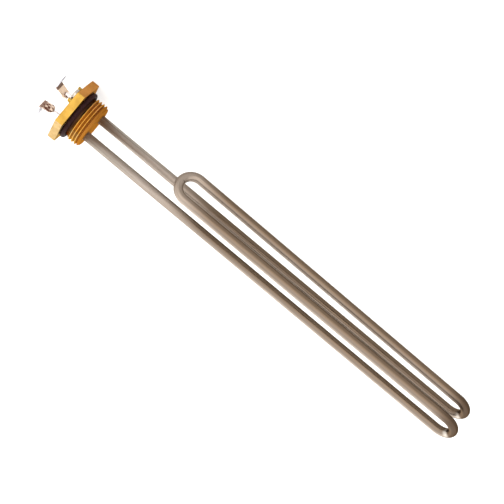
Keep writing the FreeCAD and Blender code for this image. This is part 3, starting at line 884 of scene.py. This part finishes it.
class TubeSettings(bpy.types.PropertyGroup):
    """Sizes of the folded tube and of what it holds."""

    radius: length_property("Tube Radius", "Outside of the tube", -TUBE_LOW.y)
    wall: length_property("Wall", "Thickness of the tube's wall", 0.5 * MM)
    loop_x: length_property("Loop", "Outermost line of the loop near the plug", 82.9 * MM)
    far_b: length_property("Far Line B", "Far line of the bend at leg b", FAR_LINE)
    far_a: length_property("Far Line A", "Far line of the bend at leg a", FAR_LINE - 1.0 * MM)
    lean: angle_property("Lean", "Lean of the inner run at leg a", 0.589)
    coil_pitch: length_property("Coil Pitch", "Distance between two turns of the coil", 1.6 * MM)
    wire_radius: length_property("Wire Radius", "Wire of the coil", 0.24 * MM)
    segments: IntProperty(name="Segments", description="Faces round the tube", default=48, min=12)
    bend_steps: IntProperty(name="Bend Steps", description="Steps in a bend", default=24, min=6)


class TerminalSettings(bpy.types.PropertyGroup):
    """Sizes of the pins, beads and blade terminals."""

    pin_radius: length_property("Pin Radius", "Terminal pin", 1.35 * MM)
    pin_reach: length_property("Pin Reach", "Bead to the pin's end", 15.5 * MM)
    lean_a: angle_property("Lean A", "Lean of pin a over its bead", 10.0)
    lean_b: angle_property("Lean B", "Lean of pin b over its bead", 15.0)
    width: length_property("Blade Width", "Width of a blade", TAB_HIGH.z - TAB_LOW.z)
    thickness: length_property("Blade Thickness", "Thickness of a blade", 0.8 * MM)
    foot: length_property("Foot", "Bead to the lower end of a terminal", 13.2 * MM)
    foot_round: length_property("Foot Rounding", "Corner radius of the lower end", 2.6 * MM)
    lap: length_property("Lap", "Part of terminal a that follows the pin", 2.8 * MM)
    arm_a: length_property("Arm A", "Sloping part of terminal a", 7.9 * MM)
    arm_angle: angle_property("Arm Slope", "Slope of terminal a", 31.6)
    arm_b: length_property("Arm B", "Upright part of terminal b", 9.4 * MM)
    blade: length_property("Blade", "Length of the flat blade", 10.4 * MM)
    droop: angle_property("Droop", "Droop of a blade", 6.0)
    corner: length_property("Corner", "Chamfer of a blade's corners", 1.2 * MM)
    hole_radius: length_property("Hole", "Radius of the locking hole", 1.1 * MM)
    hole_inset: length_property("Hole Inset", "Blade's end to the hole", 5.0 * MM)
    bend: length_property("Bend", "Inner radius of the bends", 0.5 * MM)
    weld_radius: length_property("Weld", "Size of the weld at a pin's end", 1.5 * MM)
    weld_inset: length_property("Weld Inset", "Pin's end to the middle of the weld", 0.6 * MM)
    burn_a: length_property("Burn A", "Reach of the burnt plating on terminal a", 2.6 * MM)
    burn_b: length_property("Burn B", "Reach of the burnt plating on terminal b", 9.0 * MM)


class ScrewSettings(bpy.types.PropertyGroup):
    """Sizes of the earth screw."""

    head_radius: length_property("Head Radius", "Head of the screw", (SCREW_HIGH.z - SCREW_LOW.z) / 2)
    head_round: length_property("Head Rounding", "Rounding of the head", 0.9 * MM)
    cross_length: length_property("Cross Span", "Span of the cross recess", 4.5 * MM)
    cross_width: length_property("Cross Width", "Width of a slot of the cross", 1.0 * MM)
    cross_depth: length_property("Cross Depth", "Depth of the cross recess", 1.2 * MM)
    shank_radius: length_property("Shank Radius", "Thread of the screw", 1.99 * MM)
    thread_depth: length_property("Thread Depth", "Crest to root of the screw's thread", 0.43 * MM)
    pitch: length_property("Pitch", "Pitch of the screw's thread", 0.7 * MM)


class FinishSettings(bpy.types.PropertyGroup):
    """Colours of the finishes."""

    brass: colour_property("Brass", "Hexagon and recess", (0.40, 0.235, 0.046))
    # Painted shade and painted highlight: shaded and lit copies of the hexagon's brass.
    brass_shaded: colour_property("Shaded Brass", "Painted shade on the hexagon's lower side", (0.49, 0.235, 0.085))
    brass_lit: colour_property("Lit Brass", "Painted highlight on the hexagon's top flat", (0.36, 0.275, 0.165))
    brass_thread: colour_property("Thread Brass", "Thread and neck", (0.62, 0.335, 0.067))
    # Painted shade and painted highlight: shaded and lit copies of the thread's brass.
    thread_shaded: colour_property("Shaded Thread", "Painted shade on the thread's lower side", (0.64, 0.335, 0.105))
    thread_lit: colour_property("Lit Thread", "Painted highlight on the thread's upper side", (0.54, 0.35, 0.13))
    brass_end: colour_property("Brass End", "Smooth end of the thread", (0.31, 0.128, 0.022))
    brass_face: colour_property("Brass Face", "Forged face and recess", (0.34, 0.225, 0.062))
    brass_patina: colour_property("Brass Patina", "Dark patches on the face", (0.17, 0.105, 0.032))
    # Also painted shade in the thread's roots.
    brass_stain_and_shade: colour_property("Brass Stain", "Tarnish on the brass, and painted shade in the thread's roots", (0.15, 0.07, 0.018))
    brass_edge: colour_property("Brass Edge", "Brass at grazing angles", (0.62, 0.42, 0.16))
    rubber: colour_property("Rubber", "Seal ring", (0.012, 0.0045, 0.0045))
    sheath_cold: colour_property("Sheath Cold", "Tube at the plug", (0.46, 0.42, 0.375))
    sheath: colour_property("Sheath", "Tube where it stays cool", (0.37, 0.318, 0.28))
    sheath_hot: colour_property("Sheath Far", "Tube at the far bends", (0.118, 0.079, 0.050))
    # Painted light: lit copies of the tube's colour on the side that faces the light.
    sheath_lit: colour_property("Sheath Lit", "Painted light on the tube's upper side", (0.172, 0.139, 0.116))
    sheath_lit_rim: colour_property("Sheath Lit Rim", "Painted highlight along its upper side", (0.26, 0.228, 0.198))
    sheath_bent: colour_property("Sheath Bent", "Dark outside of the far bends", (0.048, 0.030, 0.019))
    # Painted highlight: glints in the far bends.
    sheath_glint: colour_property("Sheath Glint", "Painted glints in the far bends", (0.42, 0.39, 0.35))
    # Also painted shade on the tube's underside.
    sheath_tint_and_shade: colour_property("Sheath Tint", "Annealing tint of the tube, and painted shade on its underside", (0.135, 0.100, 0.072))
    sheath_edge: colour_property("Sheath Edge", "Tube at grazing angles", (0.52, 0.475, 0.435))
    pin: colour_property("Pin", "Terminal pins where they stand free", (0.72, 0.64, 0.62))
    pin_recessed: colour_property("Pin Recessed", "Terminal pins in the recess", (0.10, 0.085, 0.075))
    plating: colour_property("Plating", "Arms of the terminals", (0.95, 0.80, 0.66))
    # Painted reflection: darker grey copies of the plating on the blades.
    blade_a: colour_property("Blade A", "Flat blade of terminal a", (0.34, 0.33, 0.36))
    blade_b: colour_property("Blade B", "Flat blade of terminal b", (0.46, 0.45, 0.49))
    # Also painted shade at a terminal's bend.
    scorch_and_shade: colour_property("Scorch", "Burnt plating round a weld, and painted shade at a bend", (0.11, 0.045, 0.030))
    weld_tint: colour_property("Weld Tint", "Metal of a weld", (0.62, 0.36, 0.22))
    zinc: colour_property("Zinc", "Earth screw", (0.40, 0.36, 0.32))
    ceramic: colour_property("Ceramic", "Insulating beads", (0.80, 0.66, 0.42))
    braze: colour_property("Brazing", "Filler round the tubes", (0.42, 0.29, 0.10))
    resin: colour_property("Resin", "Plugs in the tube's ends", (0.30, 0.17, 0.06))
    powder: colour_property("Magnesia", "Powder in the tube", (0.78, 0.77, 0.73))
    alloy: colour_property("Coil Alloy", "Resistance wire", (0.34, 0.32, 0.29))
    floor: colour_property("Floor", "Studio floor", (0.34, 0.34, 0.337))


class StageSettings(bpy.types.PropertyGroup):
    """Camera, floor and light."""

    camera_place: place_property(
        "Camera Place", "Where the camera stands", (0.16583, 1.16490, 0.63706)
    )
    camera_aim: FloatVectorProperty(
        name="Camera Aim", description="Direction in which the camera looks", subtype="DIRECTION",
        default=(-0.0150, -1.0, -0.5508),
    )
    camera_roll: angle_property("Camera Roll", "Turn of the camera about its own axis", 220.241)
    focal_share: FloatProperty(
        name="Focal Share", description="Focal length over the picture's width",
        default=FOCAL_LENGTH / PHOTO_WIDTH,
    )
    floor_size: length_property("Floor Size", "Side of the square floor", 8.0)
    floor_glow: light_property("Floor Glow", "Light that comes through the floor", 0.70)
    front_power: power_property("Front Light", "Power of the light beside the camera", 9.0)
    front_side: length_property("Front Side", "Side of that square light", 2.2)
    front_place: place_property("Front Place", "From the part's middle to it", (-0.1, 1.75, 1.25))
    back_power: power_property("Back Light", "Power of the light behind the part", 14.0)
    back_side: length_property("Back Side", "Side of that square light", 1.8)
    back_place: place_property("Back Place", "From the part's middle to it", (-0.3, -1.9, 1.0))
    world_strength: light_property("Surroundings", "Light from all around", 2.45)


# Pieces.


class HEATER_OT_plug(bpy.types.Operator):
    """Brass plug: hexagon, neck, helical thread, recess, ribs and holes"""

    bl_idname = "heater.plug"
    bl_label = "Brass Plug"

    def execute(self, context):
        scene = context.scene
        size = scene.heater_plug
        corner = size.across_flats / 2 / math.cos(math.pi / 6)
        corners = [
            (corner * math.cos(k * math.pi / 3), corner * math.sin(k * math.pi / 3)) for k in range(6)
        ]
        hexagon = prism(
            "hexagon", corners, lambda y, z, x: (x, y, z), -size.hex_height, 0.0, size.corner_round
        )
        made = add_object("plug", hexagon)
        inside = -size.hex_height / 2
        neck = cylinder("neck", inside, size.neck_end + OVERSHOOT, size.neck_radius, segments=256)
        combine(made, neck, "UNION")
        thread = grow(
            "thread", bpy.data.meshes.new("thread"), thread_tree(),
            crest_radius=size.crest_radius, root_radius=size.root_radius,
            start_radius=size.neck_radius - 0.2 * MM, pitch=size.thread_pitch,
            first_root=size.first_root, start=size.neck_end, end=size.thread_end,
            runout=size.thread_runout, chamfer=size.thread_chamfer, segments=256, rows=16,
        )
        combine(made, thread.data, "UNION")
        bpy.data.objects.remove(thread)
        for side in SIDES.values():
            self.add_rib(made, size, side * size.rib_pitch / 2)
        self.cut_recess(made, size)
        self.cut_holes(
            made, size, scene.heater_tube.radius + PLAY, scene.heater_screw.shank_radius + PLAY
        )
        smooth(made)
        dress(made, brass_finish(scene.heater_finish, size), "brass_plug")
        return {"FINISHED"}

    def add_rib(self, made, size, z):
        """Join one of the two ribs that stop a ring terminal from turning."""
        face = -size.hex_height
        sunk = face + 0.6 * MM
        outline = [
            (sunk, size.rib_start), (face, size.rib_start),
            (PLUG_LOW.x, size.rib_start + size.rib_ramp), (PLUG_LOW.x, size.rib_end),
            (sunk, size.rib_end),
        ]
        half = size.rib_width / 2
        rib = prism("rib", outline, lambda x, y, level: (x, y, level), z - half, z + half, 0.16 * MM)
        combine(made, rib, "UNION")

    def cut_recess(self, made, size):
        """Cut the recess with its broken edge and the fine line turned into its floor."""
        face = -size.hex_height
        outside = face - 4.0 * MM
        edge = 0.25 * MM
        wall = size.recess_radius
        floor = size.floor_x
        line = size.line_radius
        depth = 0.2 * MM
        outline = rounded([
            (outside, 0.0, 0.0),
            (outside, wall + 4.0 * MM, 0.0),
            (face, wall + edge, 0.0),
            (face + edge, wall, 0.0),
            (floor, wall, 0.5 * MM),
            (floor, line + depth, 0.0),
            (floor + depth, line, 0.0),
            (floor, line - depth, 0.0),
            (floor, 0.0, 0.0),
        ])
        combine(made, lathe("recess", outline, segments=192), "DIFFERENCE")

    def cut_holes(self, made, size, tube_hole, tapped_hole):
        """Cut the tube's two holes and the tapped hole for the screw."""
        for side in SIDES.values():
            centre = (0.0, side * LEG_Z)
            end = size.thread_end + OVERSHOOT
            combine(made, cylinder("tube_hole", 0.0, end, tube_hole, centre, segments=64), "DIFFERENCE")
        outside = -size.hex_height - OVERSHOOT
        deep = SCREW_HIGH.x + 0.4 * MM
        tool = cylinder("tapped_hole", outside, deep, tapped_hole, (SCREW_Y, 0.0), segments=48)
        combine(made, tool, "DIFFERENCE")


class HEATER_OT_seal(bpy.types.Operator):
    """Seal ring on the neck, with the fine line that its mould leaves"""

    bl_idname = "heater.seal"
    bl_label = "Seal Ring"

    def execute(self, context):
        section = SEAL_HIGH.x / 2
        ring = SEAL_HIGH.z - section
        steps = 64
        line = 0.03 * MM
        outline = []
        for k in range(steps):
            angle = math.tau * k / steps
            reach = section - line + (line if k in (0, steps // 2) else 0.0)
            outline.append((section + reach * math.sin(angle), ring + reach * math.cos(angle)))
        made = add_object("seal_ring", lathe("seal_ring", outline, segments=192, closed=True))
        smooth(made, sharp_angle=60.0)
        dress(made, rubber_finish(context.scene.heater_finish), "o_ring_seal")
        return {"FINISHED"}


def heater_route(size, start_x):
    """Corners of the heater's route: leg b, run, loop, leaning run and leg a."""
    lean = math.tan(size.lean)
    loop_z = -LEG_Z - (size.far_a - size.loop_x) * lean
    return [
        (start_x, 0.0, LEG_Z),
        (size.far_b, 0.0, LEG_Z),
        (size.far_b, RUN_Y, LEG_Z),
        (size.loop_x, RUN_Y, LEG_Z),
        (size.loop_x, RUN_Y, loop_z),
        (size.far_a, RUN_Y, -LEG_Z),
        (size.far_a, 0.0, -LEG_Z),
        (start_x, 0.0, -LEG_Z),
    ]


class HEATER_OT_tube(bpy.types.Operator):
    """Folded tube, swept along its route, with its wall"""

    bl_idname = "heater.tube"
    bl_label = "Folded Tube"

    def execute(self, context):
        size = context.scene.heater_tube
        finish = sheath_finish(context.scene.heater_finish)
        made = grow(
            "sheath", route_mesh("sheath", heater_route(size, TUBE_LOW.x)), rod_tree(),
            bend_radius=BEND_RADIUS, bend_steps=size.bend_steps, rod_radius=size.radius,
            segments=size.segments, closed_ends=False, material=finish,
        )
        made.data.shade_smooth()
        wall = made.modifiers.new("wall", "SOLIDIFY")
        wall.thickness = size.wall
        wall.offset = -1.0
        settle(made)
        dress(made, finish, "sheath_tube")
        return {"FINISHED"}


class HEATER_OT_inside(bpy.types.Operator):
    """What the tube holds: wound coil, packed powder and resin plugs"""

    bl_idname = "heater.inside"
    bl_label = "Coil and Filling"

    def execute(self, context):
        size = context.scene.heater_tube
        colours = context.scene.heater_finish
        alloy = metal_finish("resistance_alloy", colours.alloy, shade(colours.alloy, 0.6), rough=0.35)
        coil = grow(
            "coil", route_mesh("coil", heater_route(size, COIL_LOW.x)), coil_tree(),
            bend_radius=BEND_RADIUS, bend_steps=size.bend_steps, coil_radius=-COIL_LOW.y,
            wire_radius=size.wire_radius, pitch=size.coil_pitch, steps=10, segments=5, material=alloy,
        )
        coil.data.shade_smooth()
        dress(coil, alloy, "heating_coil")
        powder = fired_finish("magnesia", colours.powder, shade(colours.powder, 0.8), glaze=0.0)
        resin = fired_finish("seal_resin", colours.resin, shade(colours.resin, 0.6), glaze=0.8)
        for node, finish in (("magnesia_fill", powder), ("end_seal_a", resin), ("end_seal_b", resin)):
            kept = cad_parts[node]
            kept.data.materials.clear()
            kept.data.materials.append(finish)
        return {"FINISHED"}


class HEATER_OT_beads(bpy.types.Operator):
    """Insulating beads on the tube's ends and the brazing at its feet"""

    bl_idname = "heater.beads"
    bl_label = "Beads and Brazing"

    def execute(self, context):
        scene = context.scene
        colours = scene.heater_finish
        ceramic = fired_finish(
            "bead_ceramic", colours.ceramic, shade(colours.ceramic, 0.72), glaze=0.5
        )
        filler = metal_finish("braze_alloy", colours.braze, shade(colours.braze, 0.5), rough=0.34)
        bead = self.bead_outline(scene.heater_terminals.pin_radius + 0.08 * MM)
        fillet = self.fillet_outline(scene.heater_tube.radius)
        for name, side in SIDES.items():
            centre = (0.0, side * LEG_Z)
            made = add_object(f"bead_{name}", lathe("bead", bead, centre, segments=96, closed=True))
            dress(smooth(made, sharp_angle=50.0), ceramic, f"ceramic_bead_{name}")
            made = add_object(
                f"brazing_{name}", lathe("brazing", fillet, centre, segments=96, closed=True)
            )
            dress(smooth(made, sharp_angle=50.0), filler, f"braze_ring_{name}")
        return {"FINISHED"}

    def bead_outline(self, bore):
        """Section of a bead, rounded most at its free end."""
        outer = BEAD_HIGH.z - LEG_Z
        return rounded([
            (BEAD_HIGH.x, bore, 0.0), (BEAD_HIGH.x, outer, 0.2 * MM),
            (BEAD_LOW.x, outer, 0.9 * MM), (BEAD_LOW.x, bore, 0.25 * MM),
        ], closed=True)

    def fillet_outline(self, tube, steps=8):
        """Section of the filler, hollow like a meniscus between the tube and the floor."""
        foot = BRAZE_HIGH.z - LEG_Z
        rise = BRAZE_HIGH.x - BRAZE_LOW.x
        outline = [(BRAZE_HIGH.x, tube), (BRAZE_HIGH.x, foot)]
        for k in range(1, steps + 1):
            angle = math.pi / 2 * k / steps
            outline.append((
                BRAZE_HIGH.x - rise * (1 - math.cos(angle)),
                foot - (foot - tube - 0.2 * MM) * math.sin(angle),
            ))
        outline.append((BRAZE_LOW.x, tube))
        return outline


class HEATER_OT_terminals(bpy.types.Operator):
    """Terminal pins and the blades welded to them"""

    bl_idname = "heater.terminals"
    bl_label = "Pins and Blades"

    def execute(self, context):
        size = context.scene.heater_terminals
        colours = context.scene.heater_finish
        steel = pin_finish(colours)
        rods = rod_tree()
        for name, side in SIDES.items():
            lean = getattr(size, f"lean_{name}")
            along = Vector((-math.cos(lean), -math.sin(lean), 0.0))
            away = Vector((-math.sin(lean), math.cos(lean), 0.0)) * side
            elbow = Vector((BEAD_LOW.x, 0.0, side * LEG_Z))
            self.make_pin(name, elbow, elbow + along * size.pin_reach, size, rods, steel)
            corners = self.corner_points(name, side, lean, size)
            weld = elbow + along * (size.pin_reach - size.weld_inset) + away * size.pin_radius
            plating = plating_finish(
                f"terminal_plating_{name}", colours, weld, getattr(size, f"burn_{name}"),
                corners[-2], -side, getattr(colours, f"blade_{name}"),
            )
            made = self.make_blade(name, side, corners, size)
            combine(made, self.weld_mesh(size, weld, along, away), "UNION")
            dress(smooth(made), plating, f"tab_{name}")
        return {"FINISHED"}

    def make_pin(self, name, elbow, end, size, rods, steel):
        """Bend a pin at its bead and round its end."""
        node = f"cold_pin_{name}"
        route = [(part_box(node)[1].x, 0.0, elbow.z), tuple(elbow), tuple(end)]
        pin = grow(
            f"pin_{name}", route_mesh("pin", route), rods,
            bend_radius=2.0 * MM, bend_steps=6, rod_radius=size.pin_radius, segments=32,
            closed_ends=True, material=steel,
        )
        bevel(pin, 0.25 * MM, segments=3, sharp_angle=60.0)
        dress(smooth(settle(pin), sharp_angle=50.0), steel, node)

    def weld_mesh(self, size, weld, along, away):
        """Lumpy bead of molten metal between a pin's end and its blade."""
        shell = bmesh.new()
        bmesh.ops.create_icosphere(shell, subdivisions=4, radius=1.0)
        axes = Matrix((along, away, along.cross(away))).transposed()
        for vertex in shell.verts:
            ball = vertex.co
            lumps = 0.16 * turbulence(ball * 1.7, 3, False)
            ripples = 0.05 * turbulence(ball * 6.0, 2, True)
            reach = size.weld_radius * (1.0 + lumps + ripples)
            flat = Vector((ball.x * 1.15, ball.y * 0.8, ball.z * 1.25)) * reach
            vertex.co = weld + axes @ flat
        return mesh_from(shell, "weld")

    def corner_points(self, name, side, lean, size):
        """Corners of a terminal in the XY plane, from its foot to the blade's end."""
        pin = Vector((-math.cos(lean), -math.sin(lean)))
        away = Vector((-math.sin(lean), math.cos(lean))) * side * size.pin_radius
        points = [Vector((BEAD_LOW.x, 0.0)) + pin * size.foot + away]
        if name == "a":
            points.append(points[-1] + pin * size.lap)
            slope = Vector((-math.cos(size.arm_angle), math.sin(size.arm_angle)))
            points.append(points[-1] + slope * size.arm_a)
        else:
            points.append(points[-1] + pin * size.arm_b)
        blade = Vector((math.sin(size.droop), -side * math.cos(size.droop)))
        points.append(points[-1] + blade * size.blade)
        return points

    def middle_line(self, side, corners, size):
        """Bent middle line of a terminal, halfway through its thickness."""
        outwards = sideways(corners, -side * size.thickness / 2)
        ends = [(*outwards[0], 0.0), (*outwards[-1], 0.0)]
        bend = size.bend + size.thickness / 2
        return rounded([ends[0], *[(*p, bend) for p in outwards[1:-1]], ends[1]], steps=8)

    def make_blade(self, name, side, corners, size):
        """Cut a terminal from flat strip, bend it along its middle line and thicken it."""
        line = self.middle_line(side, corners, size)
        reach = [0.0]
        for here, ahead in zip(line, line[1:]):
            reach.append(reach[-1] + (ahead - here).length)
        sheet = self.flat_sheet(reach[-1], size)
        for place in reach[1:-1]:
            bmesh.ops.bisect_plane(
                sheet, geom=[*sheet.verts, *sheet.edges, *sheet.faces],
                plane_co=(place, 0.0, 0.0), plane_no=(1.0, 0.0, 0.0),
            )
        for vertex in sheet.verts:
            i = max(k for k in range(len(reach) - 1) if reach[k] <= vertex.co.x + ROUNDING)
            share = (vertex.co.x - reach[i]) / (reach[i + 1] - reach[i])
            spot = line[i].lerp(line[i + 1], share)
            vertex.co = (spot.x, spot.y, side * LEG_Z + vertex.co.y)
        made = add_object(f"blade_{name}", mesh_from(sheet, f"blade_{name}"))
        thick = made.modifiers.new("thickness", "SOLIDIFY")
        thick.thickness = size.thickness
        thick.offset = 0.0
        thick.use_even_offset = True
        bevel(made, 0.12 * MM, segments=2, sharp_angle=50.0)
        return settle(made)

    def flat_sheet(self, end, size):
        """Outline of a terminal as flat strip, with its round foot and its locking hole."""
        half = size.width / 2
        corner = size.corner
        blunt = 0.15 * MM
        outline = rounded([
            (0.0, -half, size.foot_round), (end - corner, -half, blunt),
            (end, -half + corner, blunt), (end, half - corner, blunt),
            (end - corner, half, blunt), (0.0, half, size.foot_round),
        ], steps=8, closed=True)
        steps = 40
        hole = [
            Vector((
                end - size.hole_inset + size.hole_radius * math.cos(math.tau * k / steps),
                size.hole_radius * math.sin(math.tau * k / steps),
            ))
            for k in range(steps)
        ]
        sheet = bmesh.new()
        edges = []
        for loop in (outline, hole):
            points = [sheet.verts.new((p.x, p.y, 0.0)) for p in loop]
            edges += [sheet.edges.new((points[i - 1], points[i])) for i in range(len(points))]
        bmesh.ops.triangle_fill(sheet, use_beauty=True, edges=edges)
        return sheet


class HEATER_OT_screw(bpy.types.Operator):
    """Earth screw with its cross recess and threaded shank"""

    bl_idname = "heater.screw"
    bl_label = "Earth Screw"

    def execute(self, context):
        size = context.scene.heater_screw
        colours = context.scene.heater_finish
        seat = -context.scene.heater_plug.hex_height
        top = SCREW_LOW.x
        head = rounded([
            (seat, 0.0, 0.0), (seat, size.head_radius, 0.12 * MM),
            (top + 0.1 * MM, size.head_radius, size.head_round), (top, 0.0, 0.0),
        ], steps=10)
        made = add_object("earth_screw_piece", lathe("head", head, (SCREW_Y, 0.0), segments=96))
        root = size.shank_radius - size.thread_depth
        shank = grow(
            "shank", bpy.data.meshes.new("shank"), thread_tree(),
            crest_radius=size.shank_radius, root_radius=root, start_radius=root, pitch=size.pitch,
            first_root=seat, start=seat - 0.3 * MM, end=SCREW_HIGH.x, runout=0.5 * MM,
            chamfer=0.4 * MM, axis_y=SCREW_Y, segments=48, rows=8,
        )
        combine(made, shank.data, "UNION")
        bpy.data.objects.remove(shank)
        half_length = size.cross_length / 2
        half_width = size.cross_width / 2
        self.cut_cross(made, top, size.cross_depth, 0.0, half_length, half_width)
        # Between its arms lies a second cross: less than half as deep and wide, and two thirds as long.
        shallow = size.cross_depth * 0.45
        self.cut_cross(made, top, shallow, math.pi / 4, half_length * 0.66, half_width * 0.45)
        smooth(made)
        zinc = metal_finish("screw_zinc", colours.zinc, shade(colours.zinc, 0.6), rough=0.14)
        dress(made, zinc, "earth_screw")
        return {"FINISHED"}

    def cut_cross(self, made, top, depth, turn, half_length, half_width):
        """Cut two crossed slots that narrow to about half from their mouth to their bottom."""
        for quarter in (0.0, math.pi / 2):
            spin = Matrix.Rotation(turn + quarter, 2)
            shell = bmesh.new()
            rings = []
            for x, width in ((top - 0.5 * MM, 1.12), (top + depth, 0.55)):
                rings.append([])
                for across, up in ((-1, -1), (1, -1), (1, 1), (-1, 1)):
                    spot = spin @ Vector((across * half_length * width, up * half_width * width))
                    rings[-1].append(shell.verts.new((x, SCREW_Y + spot.x, spot.y)))
            shell.faces.new(rings[0])
            shell.faces.new(rings[1])
            for i in range(4):
                j = (i + 1) % 4
                shell.faces.new((rings[0][i], rings[0][j], rings[1][j], rings[1][i]))
            combine(made, mesh_from(shell, "slot"), "DIFFERENCE")


class HEATER_OT_stage(bpy.types.Operator):
    """Pale floor, soft studio light and the camera"""

    bl_idname = "heater.stage"
    bl_label = "Stage"

    def execute(self, context):
        stage = context.scene.heater_stage
        self.lay_floor(stage, context.scene.heater_finish)
        self.add_surroundings(stage)
        self.add_light("front_light", stage.front_power, stage.front_side, stage.front_place)
        self.add_light("back_light", stage.back_power, stage.back_side, stage.back_place)
        self.add_camera(stage)
        context.scene.view_settings.view_transform = "Standard"
        return {"FINISHED"}

    def lay_floor(self, stage, colours):
        """Lay the floor just under the part."""
        shell = bmesh.new()
        bmesh.ops.create_grid(shell, x_segments=8, y_segments=8, size=stage.floor_size / 2)
        place = (CAD_BOX[1].x / 2, 0.0, CAD_BOX[0].z - 0.2 * MM)
        bmesh.ops.translate(shell, verts=shell.verts, vec=place)
        floor = add_object("floor", mesh_from(shell, "floor"))
        floor.data.materials.append(floor_finish(colours, stage.floor_glow))

    def add_surroundings(self, stage):
        """Light the scene evenly from all around."""
        world = bpy.data.worlds.new("surroundings")
        bpy.context.scene.world = world
        world.use_nodes = True
        background = world.node_tree.nodes["Background"]
        background.inputs["Color"].default_value = (1.0, 0.985, 0.96, 1.0)
        background.inputs["Strength"].default_value = stage.world_strength

    def add_light(self, name, power, side, place):
        """Add a square soft light that faces the part's middle, from a place seen from there."""
        light = bpy.data.lights.new(name, "AREA")
        light.energy = power
        light.size = side
        away = Vector(place)
        made = add_object(name, light)
        made.location = (CAD_BOX[0] + CAD_BOX[1]) / 2 + away
        made.rotation_euler = (-away).to_track_quat("-Z", "Y").to_euler()
        made.visible_camera = False

    def add_camera(self, stage):
        """Set the camera up where the photograph was taken from."""
        camera = bpy.data.cameras.new("camera")
        camera.sensor_width = SENSOR_WIDTH
        camera.lens = SENSOR_WIDTH * stage.focal_share
        camera.clip_start = 0.05
        camera.clip_end = 20.0
        seen = add_object("camera", camera)
        aim = Vector(stage.camera_aim).to_track_quat("-Z", "Y").to_matrix()
        roll = Matrix.Rotation(stage.camera_roll, 3, "Z")
        seen.matrix_world = Matrix.Translation(Vector(stage.camera_place)) @ (aim @ roll).to_4x4()
        bpy.context.scene.camera = seen


class HEATER_PT_panel(bpy.types.Panel):
    """Lists the heater's pieces with their sizes and colours"""

    bl_label = "Water Heater Element"
    bl_idname = "HEATER_PT_panel"
    bl_space_type = "VIEW_3D"
    bl_region_type = "UI"
    bl_category = "Heater"

    def draw(self, context):
        for operator in OPERATORS:
            self.layout.operator(operator.bl_idname)
        for name, group in SETTINGS.items():
            box = self.layout.box()
            for label in group.__annotations__:
                box.prop(getattr(context.scene, name), label)


OPERATORS = (
    HEATER_OT_plug,
    HEATER_OT_seal,
    HEATER_OT_tube,
    HEATER_OT_inside,
    HEATER_OT_beads,
    HEATER_OT_terminals,
    HEATER_OT_screw,
    HEATER_OT_stage,
)
SETTINGS = {
    "heater_plug": PlugSettings,
    "heater_tube": TubeSettings,
    "heater_terminals": TerminalSettings,
    "heater_screw": ScrewSettings,
    "heater_finish": FinishSettings,
    "heater_stage": StageSettings,
}


def register():
    """Register the settings, the operators and the panel."""
    for name, group in SETTINGS.items():
        bpy.utils.register_class(group)
        setattr(bpy.types.Scene, name, PointerProperty(type=group))
    for kind in (*OPERATORS, HEATER_PT_panel):
        bpy.utils.register_class(kind)


def unregister():
    """Take the panel, the operators and the settings out again."""
    for kind in (HEATER_PT_panel, *reversed(OPERATORS)):
        bpy.utils.unregister_class(kind)
    for name, group in reversed(SETTINGS.items()):
        delattr(bpy.types.Scene, name)
        bpy.utils.unregister_class(group)


def main():
    register()
    bpy.ops.heater.plug()
    bpy.ops.heater.seal()
    bpy.ops.heater.tube()
    bpy.ops.heater.inside()
    bpy.ops.heater.beads()
    bpy.ops.heater.terminals()
    bpy.ops.heater.screw()
    bpy.ops.heater.stage()


if __name__ == "__main__":
    main()
